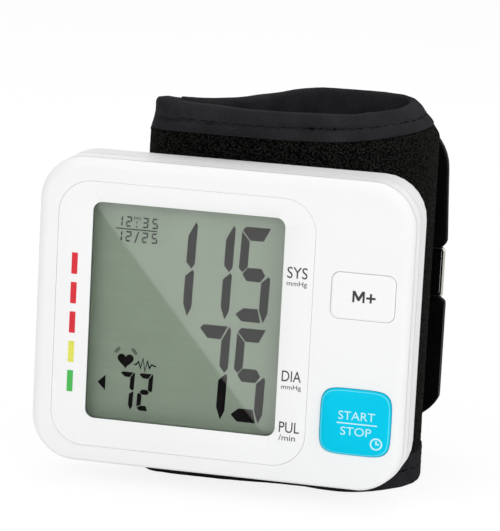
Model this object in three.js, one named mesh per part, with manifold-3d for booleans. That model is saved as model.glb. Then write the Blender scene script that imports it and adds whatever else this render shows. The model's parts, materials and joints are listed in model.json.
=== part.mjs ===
// Wrist blood pressure monitor: an upright display housing with two buttons on a wrap-round wrist cuff.
// Millimetres. X runs to the right of the face, Y from the face to the back, Z up.
// The part stands on the lower hem of its cuff, and the origin is at the middle of that footprint's box.
import * as THREE from "three";
import { mergeVertices } from "three/addons/utils/BufferGeometryUtils.js";
import Module from "manifold-3d";

const wasm = await Module();
wasm.setup();

// Fits shared by all pieces
const GAP = 0.3; // clearance between neighbouring pieces
const SEAT = 0.1; // film between pieces that are bonded, soldered or pressed flat together
const SLIP = 0.25; // clearance round a button in its opening

// Housing
const BODY_W = 84;
const BODY_H = 69;
const BODY_CORNER = 10;
const BODY_LIFT = 4.4; // lower edge of the housing above the cuff's lower hem
const RIM_W = 2.4; // soft rim round the face, across
const RIM_D = 1.9; // soft rim round the face, deep
const FACE_WALL = 2;
const SIDE_WALL = 1.8;
const SEAM_Y = 6.9; // parting line between the front and rear shells
const SEAM_GROOVE = 0.35; // shadow line along the parting line
const SHOULDER_Y = 13.8; // rear end of the straight side band
const DECK_Y = 19.6; // rear face of the housing
const DECK_INSET = 5; // the deck stands in from the side band by this much
const DECK_WALL = 1.5;
const LIP_T = 0.9; // tongue of the rear shell inside the front shell
const LIP_H = 1.4;

// Display
const PANEL_W = 57.2;
const PANEL_H = 58.9;
const PANEL_CORNER = 7.2;
const PANEL_T = 1.2;
const PANEL_X = -8.5;
const PANEL_RISE = 34.2; // centre of the panel above the lower edge of the housing
const WINDOW_W = 43.1;
const WINDOW_H = 48.6;
const WINDOW_CORNER = 2.1;
const WINDOW_X = -8;
const WINDOW_RISE = 35.2; // centre of the window above the lower edge of the housing
const LENS_LAP = 1.6; // the lens reaches this far past the window all round
const LENS_T = 1.2;
const GLASS_LAP = 2; // the LCD glass reaches this far past the window all round
const GLASS_T = 1.1;
const FRAME_T = 1; // wall of the LCD frame
const FRAME_LIP = 0.7; // front lip of the LCD frame, thick
const ZEBRA_L = 27;
const ZEBRA_H = 2.4;

// Buttons
const START_W = 15.7;
const START_H = 14.7;
const START_X = 31.4;
const START_RISE = 16.1;
const START_POWER = 5; // exponent of the rounded-square outline
const START_CROWN = 1.1; // crown of the cap above the face
const START_TRAVEL = 1;
const MEMORY_W = 14.1;
const MEMORY_H = 10.2;
const MEMORY_CORNER = 1.8;
const MEMORY_X = 31.5;
const MEMORY_RISE = 43.9;
const MEMORY_CROWN = 0.35;
const MEMORY_TRAVEL = 0.8;
const FLANGE_W = 0.9; // retaining flange of a button behind the face wall
const FLANGE_T = 0.8;
const STEM_R = 2;
const SWITCH_SIDE = 6;
const SWITCH_T = 1.6;
const PLUNGER_R = 1.6;
const PLUNGER_T = 0.6;

// Main board and what it carries
const BOARD_Y = 7.4; // front face of the board
const BOARD_T = 1;
const BOARD_LEFT = -15.4;
const BOARD_RIGHT = 38.5;
const BOARD_LOW = 4.4; // above the lower edge of the housing
const BOARD_HIGH = 64.6;
const BOARD_NOTCH = 8.2; // corners cut away for the screw bosses
const CHIP_SIDE = 10;
const CHIP_T = 1.4;
const CHIP_X = -4;
const CHIP_RISE = 41;
const BUZZER_R = 5.5;
const BUZZER_T = 3.2;
const BUZZER_X = 13;
const BUZZER_RISE = 56;
const SENSOR_SIDE = 7;
const SENSOR_T = 5.2;
const PORT_R = 1.1; // air ports of the sensor, pump and manifold
const PORT_L = 2.6;

// Air system
const PUMP_W = 12;
const PUMP_D = 9.2; // flats of the motor
const MOTOR_L = 16;
const HEAD_L = 11;
const PUMP_X = 25;
const PUMP_LOW = 33; // lower end of the pump head above the lower edge of the housing
const VALVE_W = 8;
const VALVE_D = 7.6;
const VALVE_H = 12;
const VALVE_LOW = 11.4; // above the lower edge of the housing
const MANIFOLD_W = 12;
const MANIFOLD_D = 5;
const MANIFOLD_H = 6;
const MANIFOLD_X = 15;
const MANIFOLD_RISE = 14;
const LINK_L = 6; // air line between the manifold and its neighbours
const TUBE_WALL = 0.8;
const NOZZLE_R = 2;
const NOZZLE_FLANGE_R = 4;

// Battery bay, at the left of the housing
const CELL_R = 5.25;
const CELL_L = 43.3;
const CELL_NUB_R = 1.9;
const CELL_NUB_L = 1.2;
const CELL_PITCH = 10.9;
const BAY_WALL = 0.8;
const SPRING_TURNS = 4;
const SPRING_R = 3;
const SPRING_WIRE = 0.7;
const SPRING_L = 3.4;
const CONTACT_T = 0.5;
const CONTACT_W = 7.4;
const COVER_H = 49; // battery cover along the cells
const RAIL_T = 1.3; // rails of the cover under the edge of the deck
const RAIL_W = 2.6;
const GRIP_COUNT = 4; // finger grooves across the cover
const GRIP_PITCH = 1.6;
const GRIP_D = 0.4;
const GRIP_L = 20;

// Housing screws
const SCREW_R = 1;
const SCREW_HEAD_R = 1.9;
const SCREW_HEAD_T = 1.3;
const SCREW_CLAMP = 1.6; // plastic under the head
const SCREW_IN_X = 6.5; // in from each side of the housing
const SCREW_IN_Z = 5.6; // in from the top and bottom of the housing
const BOSS_R = 2.4;
const SCREW_BITE = 4; // thread length in the front boss

// Wrist cuff, drawn in plan along the outer face of its cover
const CUFF_H = 84;
const PLY_Y = 20; // outer face of the front ply, against the deck
const FOLD_X = -16.1; // where the left fold begins
const TURN_X = 17.5; // where the right turn begins
const TURN_FRONT_R = 21.5;
const TURN_BACK_R = 15.5;
const BEND_X = 10; // where the back leaves the straight and swings in behind the front ply
const BEND_PULL = 12; // handle of that swing at the back
const TUCK_X = -13.8; // where the swing of the inner ply ends
const TUCK_Y = 31.7;
const TUCK_PULL = 12; // handle of the swing at the tucked end
const TUCK_SLOPE = 0.1;
const TUCK_L = 3.4; // free end of the inner ply, tucked into the fold
const COVER_T = 1.6;
const FORMER_T = 1.5;
const BLADDER_T = 1.2;
const LINER_T = 1.2;
const HEM_H = 6.2;
const HEM_T = 0.5;
const HEM_CAP = 1; // cloth over the raw edge
const HEM_ROLL = 4; // rolled edge along the front ply stands proud of the flat hem
const HEM_CROWN = 1.3; // height of the roll's crown from the edge
const HEM_EASE = 0.5; // rounding of the edge
const HEM_CLEAR = 4; // the deck ends this much below the upper hem
const FORMER_H = 70;
const FORMER_TAIL = 12; // the former runs on past the right turn
const BLADDER_H = 60;
const BLADDER_FROM = 6; // along the front ply from the fold
const LUG_W = 6;
const LUG_T = 1.5;
const LUG_NOSE = 0.9;
const LUG_TIP = 1.2; // depth of the nose inside the deck
const LUG_SPREAD_X = 20;
const LUG_SPREAD_Z = 26;
const LUG_MID_X = 6;

// Closing strap
const STRAP_T = 3;
const STRAP_LOW = 8;
const STRAP_H = 71.2;
const STRAP_END_X = 39.9;
const STRAP_CORNER = 11;
const HOOK_T = 0.8;
const HOOK_L = 22;
const HOOK_H = 50;
const HOOK_END = 9; // from the end of the strap to the hook patch
const NOTCH_H = 13.2;
const NOTCH_D = 5;
const TONGUE_H = 9.2;
const TONGUE_EYE_R = 1.7;
const RING_WIRE = 1.2;
const RING_W = 2.7; // between the ring's two bars, centre to centre
const RING_H = 12.2; // outside height of the ring
const RING_IN = 0.6; // outer bar stands in from the end of the strap
const CUT_OVER = 20; // how far a cutting prism reaches past the cloth

// Values worked out from the driving dimensions
const BODY_MID = BODY_LIFT + BODY_H / 2;
const HEM_RISE = CUFF_H - HEM_H - BODY_LIFT - BODY_H; // upper hem above the top of the housing
const DECK_DROP = Math.max(0, HEM_CLEAR - DECK_INSET - HEM_RISE); // deck's top gives way to the hem
const PANEL_MID = BODY_LIFT + PANEL_RISE;
const WINDOW_MID = BODY_LIFT + WINDOW_RISE;
const LENS_Y = PANEL_T + 2 * SEAT;
const FRAME_Y = LENS_Y + LENS_T + SEAT;
const GLASS_Y = FRAME_Y + FRAME_LIP + SEAT;
const GLASS_W = WINDOW_W + 2 * GLASS_LAP;
const GLASS_H = WINDOW_H + 2 * GLASS_LAP;
const FRAME_W = GLASS_W + 2 * (GAP + FRAME_T);
const FRAME_H = GLASS_H + 2 * (GAP + FRAME_T);
const BOARD_BACK = BOARD_Y + BOARD_T;
const DECK_IN = DECK_Y - DECK_WALL;
const CELL_Y = DECK_IN - GAP - CELL_R;
const BAY_FLOOR = CELL_Y - CELL_R - GAP;
const BAY_RIGHT = BOARD_LEFT - GAP - BAY_WALL;
const CELL_X = BAY_RIGHT - GAP - CELL_R;
const BAY_H = CELL_L + CELL_NUB_L + SPRING_L + 2 * (CONTACT_T + SEAT) + GAP;
const BAY_LOW = BODY_MID - BAY_H / 2;
const PUMP_Y = BOARD_BACK + GAP + PUMP_D / 2;
const FRONT_L = TURN_X - FOLD_X - GAP; // straight length of the front ply
const BACK_Y = PLY_Y + TURN_FRONT_R + TURN_BACK_R;
const PLY_T = COVER_T + FORMER_T + BLADDER_T + LINER_T + 3 * GAP;
const TUCK_T = COVER_T + LINER_T + GAP;
const STRAP_IN = HOOK_T + 2 * GAP; // strap's inner face from the cover's outer face
const STRAP_MID = STRAP_LOW + STRAP_H / 2;
const RING_BAR_X = STRAP_END_X - RING_IN - RING_WIRE / 2;
const EYE_X = RING_BAR_X - RING_W;
const EYE_Y = BACK_Y + STRAP_IN + STRAP_T / 2;
const NOZZLE_X = MANIFOLD_X;
const NOZZLE_Z = BODY_LIFT + MANIFOLD_RISE;
const AIR_Y = BOARD_BACK + SEAT + VALVE_D / 2; // depth of the air line
const VALVE_X = MANIFOLD_X + MANIFOLD_W / 2 + LINK_L + VALVE_W / 2;
const SENSOR_X = MANIFOLD_X - MANIFOLD_W / 2 - LINK_L - SENSOR_SIDE / 2;
const COLUMN_Y = SEAM_Y + LIP_H + SEAT; // front end of the rear shell's screw columns
const HEAD_Y = COLUMN_Y + SCREW_CLAMP; // seat of the screw heads

// Finishes
function finish(color, roughness, metalness = 0, extra = {}) {
  return new THREE.MeshStandardMaterial({ color, roughness, metalness, ...extra });
}
const WHITE = { color: 0xf4f4f3, roughness: 0.42 };
const BLACK_CLOTH = { color: 0x141416, roughness: 0.95 };

// A closed mesh as a solid, its triangles turned outwards
function solidFrom(positions, index) {
  const corner = (i) => new THREE.Vector3().fromArray(positions, 3 * i);
  let volume = 0;
  for (let i = 0; i < index.length; i += 3) {
    const [a, b, c] = [corner(index[i]), corner(index[i + 1]), corner(index[i + 2])];
    volume += a.dot(b.cross(c));
  }
  const triVerts = new Uint32Array(index);
  if (volume < 0) triVerts.reverse();
  const vertProperties = new Float32Array(positions);
  return new wasm.Manifold(new wasm.Mesh({ numProp: 3, vertProperties, triVerts }));
}

function solidOf(geometry) {
  const bare = geometry.clone();
  bare.deleteAttribute("normal");
  bare.deleteAttribute("uv");
  const merged = mergeVertices(bare, 1e-4);
  return solidFrom([...merged.attributes.position.array], [...merged.index.array]);
}

function geometryOf(solid) {
  const mesh = solid.getMesh();
  const geometry = new THREE.BufferGeometry();
  geometry.setAttribute("position", new THREE.BufferAttribute(mesh.vertProperties, 3));
  geometry.setIndex(new THREE.BufferAttribute(mesh.triVerts, 1));
  geometry.computeVertexNormals();
  return geometry;
}

function piece(group, name, solid, material) {
  const mesh = new THREE.Mesh(geometryOf(solid), material);
  mesh.name = name;
  group.add(mesh);
}

const join = (first, ...others) => others.reduce((all, next) => all.add(next), first);
const cut = (first, ...others) => others.reduce((all, next) => all.subtract(next), first);

// Outlines in the plane of the face: x to the right, y up
function roundedOutline(width, height, radius, x = 0, z = 0, steps = 5) {
  const r = Math.max(Math.min(radius, width / 2 - 0.01, height / 2 - 0.01), 0.2);
  const points = [];
  for (let corner = 0; corner < 4; corner++) {
    const sx = corner === 0 || corner === 3 ? 1 : -1;
    const sz = corner < 2 ? 1 : -1;
    for (let step = 0; step <= steps; step++) {
      const angle = ((corner + step / steps) * Math.PI) / 2;
      const px = x + sx * (width / 2 - r) + r * Math.cos(angle);
      const pz = z + sz * (height / 2 - r) + r * Math.sin(angle);
      points.push(new THREE.Vector2(px, pz));
    }
  }
  return points;
}

function squareRoundOutline(width, height, power, x, z, steps = 40) {
  const points = [];
  const bend = (value) => Math.sign(value) * Math.abs(value) ** (2 / power);
  for (let step = 0; step < steps; step++) {
    const angle = ((step + 0.5) / steps) * 2 * Math.PI;
    const px = x + (width / 2) * bend(Math.cos(angle));
    const pz = z + (height / 2) * bend(Math.sin(angle));
    points.push(new THREE.Vector2(px, pz));
  }
  return points;
}

// A solid through outlines of equal count, each at its own depth
function loft(sections) {
  const count = sections[0].outline.length;
  const positions = [];
  for (const { outline, y } of sections) {
    for (const p of outline) positions.push(p.x, y, p.y);
  }
  const index = [];
  for (let s = 0; s + 1 < sections.length; s++) {
    for (let i = 0; i < count; i++) {
      const a = s * count + i;
      const b = s * count + ((i + 1) % count);
      index.push(a, a + count, b, b, a + count, b + count);
    }
  }
  const last = (sections.length - 1) * count;
  for (const [a, b, c] of THREE.ShapeUtils.triangulateShape(sections[0].outline, [])) {
    index.push(a, b, c);
  }
  for (const [a, b, c] of THREE.ShapeUtils.triangulateShape(sections.at(-1).outline, [])) {
    index.push(last + c, last + b, last + a);
  }
  return solidFrom(positions, index);
}

const prism = (outline, front, back) => loft([{ outline, y: front }, { outline, y: back }]);

function block(x0, x1, y0, y1, z0, z1) {
  const box = new THREE.BoxGeometry(x1 - x0, y1 - y0, z1 - z0);
  box.translate((x0 + x1) / 2, (y0 + y1) / 2, (z0 + z1) / 2);
  return solidOf(box);
}

const blockAt = (x, y, z, width, depth, height) =>
  block(x - width / 2, x + width / 2, y - depth / 2, y + depth / 2, z - height / 2, z + height / 2);

function rod(radius, from, to, sides = 20) {
  const start = new THREE.Vector3(...from);
  const way = new THREE.Vector3(...to).sub(start);
  const cylinder = new THREE.CylinderGeometry(radius, radius, way.length(), sides);
  const turn = new THREE.Quaternion().setFromUnitVectors(
    new THREE.Vector3(0, 1, 0),
    way.clone().normalize(),
  );
  cylinder.applyQuaternion(turn);
  cylinder.translate(...start.addScaledVector(way, 0.5).toArray());
  return solidOf(cylinder);
}

// A round bar, or a tube with a bore, along a curve
function bar(points, radius, bore = 0, sides = 10, steps = 14) {
  const circle = new THREE.Shape();
  circle.absarc(0, 0, radius, 0, 2 * Math.PI);
  if (bore > 0) circle.holes.push(new THREE.Path().absarc(0, 0, bore, 0, 2 * Math.PI));
  const extrudePath = new THREE.CatmullRomCurve3(points.map((p) => new THREE.Vector3(...p)));
  return solidOf(
    new THREE.ExtrudeGeometry(circle, { steps, extrudePath, curveSegments: sides / 2 }),
  );
}

// Stations along a plan curve, each with its unit normal to the left of the way and its length from the start
function stations(path, divisions) {
  const points = path.getPoints(divisions).filter((p, i, all) => !i || p.distanceTo(all[i - 1]) > 1e-3);
  let along = 0;
  return points.map((p, i) => {
    const before = points[Math.max(i - 1, 0)];
    const after = points[Math.min(i + 1, points.length - 1)];
    const way = after.clone().sub(before).normalize();
    along += i ? p.distanceTo(before) : 0;
    return { x: p.x, y: p.y, nx: -way.y, ny: way.x, along };
  });
}

// A solid swept along stations: the profile at each is a closed list of [offset along the normal, height]
function sweep(line, profileAt) {
  const profiles = line.map((station) => profileAt(station));
  const count = profiles[0].length;
  const positions = [];
  line.forEach((station, s) => {
    for (const [offset, z] of profiles[s]) {
      positions.push(station.x + station.nx * offset, station.y + station.ny * offset, z);
    }
  });
  const index = [];
  for (let s = 0; s + 1 < line.length; s++) {
    for (let i = 0; i < count; i++) {
      const a = s * count + i;
      const b = s * count + ((i + 1) % count);
      index.push(a, b, a + count, b, b + count, a + count);
    }
  }
  const capOf = (profile) =>
    THREE.ShapeUtils.triangulateShape(profile.map(([o, z]) => new THREE.Vector2(o, z)), []);
  const last = (line.length - 1) * count;
  for (const [a, b, c] of capOf(profiles[0])) index.push(c, b, a);
  for (const [a, b, c] of capOf(profiles.at(-1))) index.push(last + a, last + b, last + c);
  return solidFrom(positions, index);
}

const bandProfile = (near, far, low, high) => [
  [near, low],
  [far, low],
  [far, high],
  [near, high],
];

// Housing: outer form from the face to the deck, as inset and depth
function bodyOutline(inset, extra = 0, drop = 0) {
  const width = BODY_W - 2 * inset - 2 * extra;
  const height = BODY_H - 2 * inset - 2 * extra - drop;
  return roundedOutline(width, height, BODY_CORNER - inset - extra, 0, BODY_MID - drop / 2, 7);
}

function rimSections(steps = 4) {
  const sections = [];
  for (let step = 0; step <= steps; step++) {
    const angle = ((step / steps) * Math.PI) / 2;
    const inset = RIM_W * (1 - Math.sin(angle));
    sections.push({ outline: bodyOutline(inset), y: RIM_D * (1 - Math.cos(angle)) });
  }
  return sections;
}

function deckSections(extra, back, steps = 4) {
  const sections = [];
  const depth = back - SHOULDER_Y;
  for (let step = 0; step <= steps; step++) {
    const angle = ((step / steps) * Math.PI) / 2;
    const share = 1 - Math.cos(angle);
    const outline = bodyOutline(DECK_INSET * share, extra, DECK_DROP * share);
    sections.push({ outline, y: SHOULDER_Y + depth * Math.sin(angle) });
  }
  return sections;
}

const screwPlaces = () => {
  const x = BODY_W / 2 - SCREW_IN_X;
  const z = Math.max(BODY_H / 2 - SCREW_IN_Z, BAY_H / 2 + BOSS_R + SEAT); // clear of the battery bay
  return [
    ["upper_left", -x, BODY_MID + z],
    ["upper_right", x, BODY_MID + z],
    ["lower_left", -x, BODY_MID - z],
    ["lower_right", x, BODY_MID - z],
  ];
};

const startOutline = (grow) =>
  squareRoundOutline(START_W + 2 * grow, START_H + 2 * grow, START_POWER, START_X, BODY_LIFT + START_RISE);
const memoryOutline = (grow) =>
  roundedOutline(
    MEMORY_W + 2 * grow,
    MEMORY_H + 2 * grow,
    MEMORY_CORNER + grow,
    MEMORY_X,
    BODY_LIFT + MEMORY_RISE,
  );
const panelOutline = (grow) =>
  roundedOutline(PANEL_W + 2 * grow, PANEL_H + 2 * grow, PANEL_CORNER + grow, PANEL_X, PANEL_MID, 6);
const windowOutline = (grow) =>
  roundedOutline(WINDOW_W + 2 * grow, WINDOW_H + 2 * grow, WINDOW_CORNER + grow, WINDOW_X, WINDOW_MID);

function frontShell() {
  const outer = loft([...rimSections(), { outline: bodyOutline(0), y: SEAM_Y }]);
  const cavity = prism(bodyOutline(SIDE_WALL), FACE_WALL, SEAM_Y + 1);
  let shell = cut(outer, cavity);
  const guideBack = FACE_WALL + FLANGE_T + START_TRAVEL + GAP;
  for (const outline of [startOutline, memoryOutline]) {
    const guide = prism(outline(SLIP + FLANGE_W + GAP + 1), FACE_WALL - 0.5, guideBack);
    shell = join(shell, guide);
  }
  for (const [, x, z] of screwPlaces()) {
    shell = join(shell, rod(BOSS_R, [x, FACE_WALL - 0.5, z], [x, SEAM_Y + LIP_H, z]));
  }
  for (const outline of [startOutline, memoryOutline]) {
    shell = cut(shell, prism(outline(SLIP), -1, guideBack + 1));
    shell = cut(shell, prism(outline(SLIP + FLANGE_W + GAP), FACE_WALL, guideBack + 1));
  }
  for (const [, x, z] of screwPlaces()) {
    const tip = SEAM_Y + LIP_H - SCREW_BITE - GAP;
    shell = cut(shell, rod(SCREW_R + SEAT, [x, tip, z], [x, SEAM_Y + LIP_H + 1, z], 12));
  }
  shell = cut(shell, prism(panelOutline(GAP), -1, PANEL_T + SEAT));
  return cut(shell, prism(windowOutline(LENS_LAP + GAP), -1, FACE_WALL + 1));
}

// The part of the rear shell that the battery cover takes: a slot over the bay, open to the left
function coverZone(shrink) {
  const half = COVER_H / 2 - shrink;
  const right = BAY_RIGHT - shrink;
  const front = SHOULDER_Y + 1 + shrink;
  return block(-BODY_W, right, front, DECK_Y + 1, BODY_MID - half, BODY_MID + half);
}

const deckForm = () => loft([{ outline: bodyOutline(0), y: SEAM_Y }, ...deckSections(0, DECK_Y)]);

function deckShell() {
  const front = { outline: bodyOutline(SIDE_WALL), y: SEAM_Y - 1 };
  return cut(deckForm(), loft([front, ...deckSections(SIDE_WALL, DECK_IN)]));
}

// Rails of the battery cover, or with a clearance the channels that they run in
function railBlocks(grow) {
  const back = DECK_IN - GAP;
  return [-1, 1].map((side) => {
    const out = COVER_H / 2 + RAIL_T;
    const middle = BODY_MID + side * (out - RAIL_W / 2);
    const half = RAIL_W / 2 + grow;
    const right = BAY_RIGHT - 2 * GAP + grow;
    return block(-BODY_W, right, back - RAIL_T - grow, back + grow, middle - half, middle + half);
  });
}

function lugPlaces() {
  const places = [];
  for (const sx of [-1, 1]) {
    for (const sz of [-1, 1]) {
      places.push([LUG_MID_X + (sx * LUG_SPREAD_X) / 2, BODY_MID + (sz * LUG_SPREAD_Z) / 2, sx]);
    }
  }
  return places;
}

// A round bar along the cuff's air nozzle
const nozzleLine = (radius, front, back, sides = 20) =>
  rod(radius, [NOZZLE_X, front, NOZZLE_Z], [NOZZLE_X, back, NOZZLE_Z], sides);

function rearShell() {
  const lipOuter = SIDE_WALL + SLIP;
  const lip = cut(
    prism(bodyOutline(lipOuter), SEAM_Y - LIP_H, SEAM_Y + 2),
    prism(bodyOutline(lipOuter + LIP_T), SEAM_Y - LIP_H - 1, SEAM_Y + 3),
  );
  const ledge = cut(
    prism(bodyOutline(SIDE_WALL / 2), SEAM_Y + GAP, SEAM_Y + 2),
    prism(bodyOutline(lipOuter + LIP_T), SEAM_Y, SEAM_Y + 3),
  );
  let shell = cut(deckShell(), prism(bodyOutline(-1), SEAM_Y - 1, SEAM_Y + GAP));
  const groove = cut(
    prism(bodyOutline(-1), SEAM_Y, SEAM_Y + 2 * GAP),
    prism(bodyOutline(SEAM_GROOVE), SEAM_Y - 1, SEAM_Y + 1),
  );
  shell = cut(join(shell, ledge, lip), groove);
  const bayLeft = CELL_X - CELL_PITCH - CELL_R - GAP;
  const bayTop = BAY_LOW + BAY_H;
  const wallBack = DECK_IN - RAIL_T - 2 * GAP;
  const trayRight = BAY_RIGHT + BAY_WALL;
  const tray = cut(
    block(bayLeft, trayRight, BAY_FLOOR - BAY_WALL, wallBack, BAY_LOW - BAY_WALL, bayTop + BAY_WALL),
    block(bayLeft - 1, BAY_RIGHT, BAY_FLOOR, DECK_Y, BAY_LOW, bayTop),
  );
  const low = BODY_MID - COVER_H / 2;
  const side = block(BAY_RIGHT, trayRight, BAY_FLOOR, DECK_IN + DECK_WALL / 2, low, low + COVER_H);
  shell = cut(join(shell, tray, side), coverZone(0), ...railBlocks(GAP));
  for (const [, x, z] of screwPlaces()) {
    const column = prism(roundedOutline(2 * BOSS_R, 2 * BOSS_R, BOSS_R, x, z), COLUMN_Y, DECK_Y + 1);
    shell = join(shell, column.intersect(deckForm()));
  }
  for (const [, x, z] of screwPlaces()) {
    shell = cut(
      shell,
      rod(SCREW_R + GAP, [x, COLUMN_Y - 1, z], [x, DECK_Y, z], 14),
      rod(SCREW_HEAD_R + GAP, [x, HEAD_Y, z], [x, DECK_Y + 1, z], 16),
      rod(BOSS_R + SLIP, [x, SEAM_Y - LIP_H - 1, z], [x, COLUMN_Y, z]),
    );
  }
  for (const [x, z] of lugPlaces()) {
    shell = cut(shell, blockAt(x, DECK_Y, z, LUG_T + LUG_NOSE + 2 * GAP, 4 * DECK_WALL, LUG_W + 2 * GAP));
  }
  return cut(shell, nozzleLine(NOZZLE_R + GAP, DECK_IN - 1, DECK_Y + 1));
}

function batteryCover() {
  const form = deckForm();
  let cover = deckShell().intersect(coverZone(GAP));
  const webBack = DECK_IN + DECK_WALL / 2;
  railBlocks(0).forEach((rail, i) => {
    const side = i ? 1 : -1;
    const inner = COVER_H / 2 + RAIL_T - RAIL_W;
    const outer = COVER_H / 2 - 2 * GAP;
    const [z0, z1] = [side * inner, side * outer].sort((a, b) => a - b);
    const front = DECK_IN - GAP - RAIL_T / 2;
    const web = block(-BODY_W, BAY_RIGHT - 2 * GAP, front, webBack, BODY_MID + z0, BODY_MID + z1);
    cover = join(cover, rail.intersect(form), web.intersect(form));
  });
  for (let i = 0; i < GRIP_COUNT; i++) {
    const x = CELL_X - CELL_PITCH + (i - (GRIP_COUNT - 1) / 2) * GRIP_PITCH;
    cover = cut(cover, blockAt(x, DECK_Y, BODY_MID, GRIP_PITCH / 2, 2 * GRIP_D, GRIP_L));
  }
  return cover;
}

function addHousing(group) {
  piece(group, "front_shell", frontShell(), finish(WHITE.color, WHITE.roughness));
  piece(group, "rear_shell", rearShell(), finish(0xececea, 0.5));
  piece(group, "battery_cover", batteryCover(), finish(0xececea, 0.5));
  for (const [name, x, z] of screwPlaces()) {
    const seat = HEAD_Y + SEAT;
    const back = seat + SCREW_HEAD_T;
    const tip = SEAM_Y + LIP_H - SCREW_BITE;
    const shank = rod(SCREW_R, [x, tip, z], [x, seat + SCREW_HEAD_T / 2, z], 12);
    const head = rod(SCREW_HEAD_R, [x, seat, z], [x, back, z], 16);
    const slot = blockAt(x, back, z, SCREW_HEAD_R, SCREW_R, SCREW_R / 2);
    const cross = blockAt(x, back, z, SCREW_R / 2, SCREW_R, SCREW_HEAD_R);
    piece(group, "housing_screw_" + name, cut(join(shank, head), slot, cross), finish(0x8d9094, 0.35, 1));
  }
}

function addDisplay(group) {
  const panel = cut(prism(panelOutline(0), SEAT, PANEL_T), prism(windowOutline(0), -1, PANEL_T + 1));
  piece(group, "display_panel", panel, finish(0xf8f8f7, 0.2));
  const clear = { transparent: true, opacity: 0.3 };
  const lens = prism(windowOutline(LENS_LAP), LENS_Y, LENS_Y + LENS_T);
  piece(group, "display_lens", lens, finish(0xe8eee8, 0.05, 0, clear));
  const frameBack = BAY_FLOOR - BAY_WALL - GAP;
  const frameOutline = roundedOutline(FRAME_W, FRAME_H, 1.5, WINDOW_X, WINDOW_MID);
  const pocket = roundedOutline(GLASS_W + 2 * GAP, GLASS_H + 2 * GAP, 0.6, WINDOW_X, WINDOW_MID);
  const frame = cut(
    prism(frameOutline, FRAME_Y, frameBack),
    prism(windowOutline(0.6), FRAME_Y - 1, frameBack),
    prism(pocket, GLASS_Y - SEAT, frameBack + 1),
  );
  piece(group, "lcd_frame", frame, finish(0x3a3d3c, 0.7));
  const glassOutline = roundedOutline(GLASS_W, GLASS_H, 0.4, WINDOW_X, WINDOW_MID);
  piece(group, "lcd_glass", prism(glassOutline, GLASS_Y, GLASS_Y + GLASS_T), finish(0x93a08c, 0.25));
  const zebraZ = WINDOW_MID - GLASS_H / 2 + ZEBRA_H / 2 + GAP;
  const zebraX = WINDOW_X + GLASS_W / 2 - ZEBRA_L / 2 - GAP;
  const zebraY0 = GLASS_Y + GLASS_T + SEAT;
  const zebra = block(
    zebraX - ZEBRA_L / 2,
    zebraX + ZEBRA_L / 2,
    zebraY0,
    BOARD_Y - SEAT,
    zebraZ - ZEBRA_H / 2,
    zebraZ + ZEBRA_H / 2,
  );
  piece(group, "zebra_strip", zebra, finish(0x55504e, 0.9));
}

// A cap with a crowned top, a retaining flange behind the face wall and a stem over its switch
function buttonCap(outlineAt, crown, x, z, travel, steps = 4) {
  const top = [];
  for (let step = 0; step <= steps; step++) {
    const angle = ((step / steps) * Math.PI) / 2;
    const shrink = -2.2 * crown * (1 - Math.sin(angle));
    top.push({ outline: outlineAt(shrink), y: -crown * Math.cos(angle) });
  }
  const cap = loft([...top, { outline: outlineAt(0), y: FACE_WALL + GAP + FLANGE_T }]);
  const flange = prism(outlineAt(SLIP + FLANGE_W), FACE_WALL + GAP, FACE_WALL + GAP + FLANGE_T);
  const stemEnd = BOARD_Y - SEAT - SWITCH_T - PLUNGER_T - travel - GAP;
  return join(cap, flange, rod(STEM_R, [x, FACE_WALL, z], [x, stemEnd, z], 16));
}

function tactSwitch(x, z) {
  const back = BOARD_Y - SEAT;
  const body = blockAt(x, back - SWITCH_T / 2, z, SWITCH_SIDE, SWITCH_T, SWITCH_SIDE);
  const plunger = rod(PLUNGER_R, [x, back - SWITCH_T - PLUNGER_T, z], [x, back - SWITCH_T + 0.2, z], 16);
  return join(body, plunger);
}

function addButtons(group) {
  const startZ = BODY_LIFT + START_RISE;
  const memoryZ = BODY_LIFT + MEMORY_RISE;
  const start = buttonCap(startOutline, START_CROWN, START_X, startZ, START_TRAVEL);
  piece(group, "start_button", start, finish(0x0cbcec, 0.35));
  const memory = buttonCap(memoryOutline, MEMORY_CROWN, MEMORY_X, memoryZ, MEMORY_TRAVEL);
  piece(group, "memory_button", memory, finish(0xfafafa, 0.35));
  piece(group, "start_switch", tactSwitch(START_X, startZ), finish(0x2b2b2d, 0.6));
  piece(group, "memory_switch", tactSwitch(MEMORY_X, memoryZ), finish(0x2b2b2d, 0.6));
}

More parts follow.
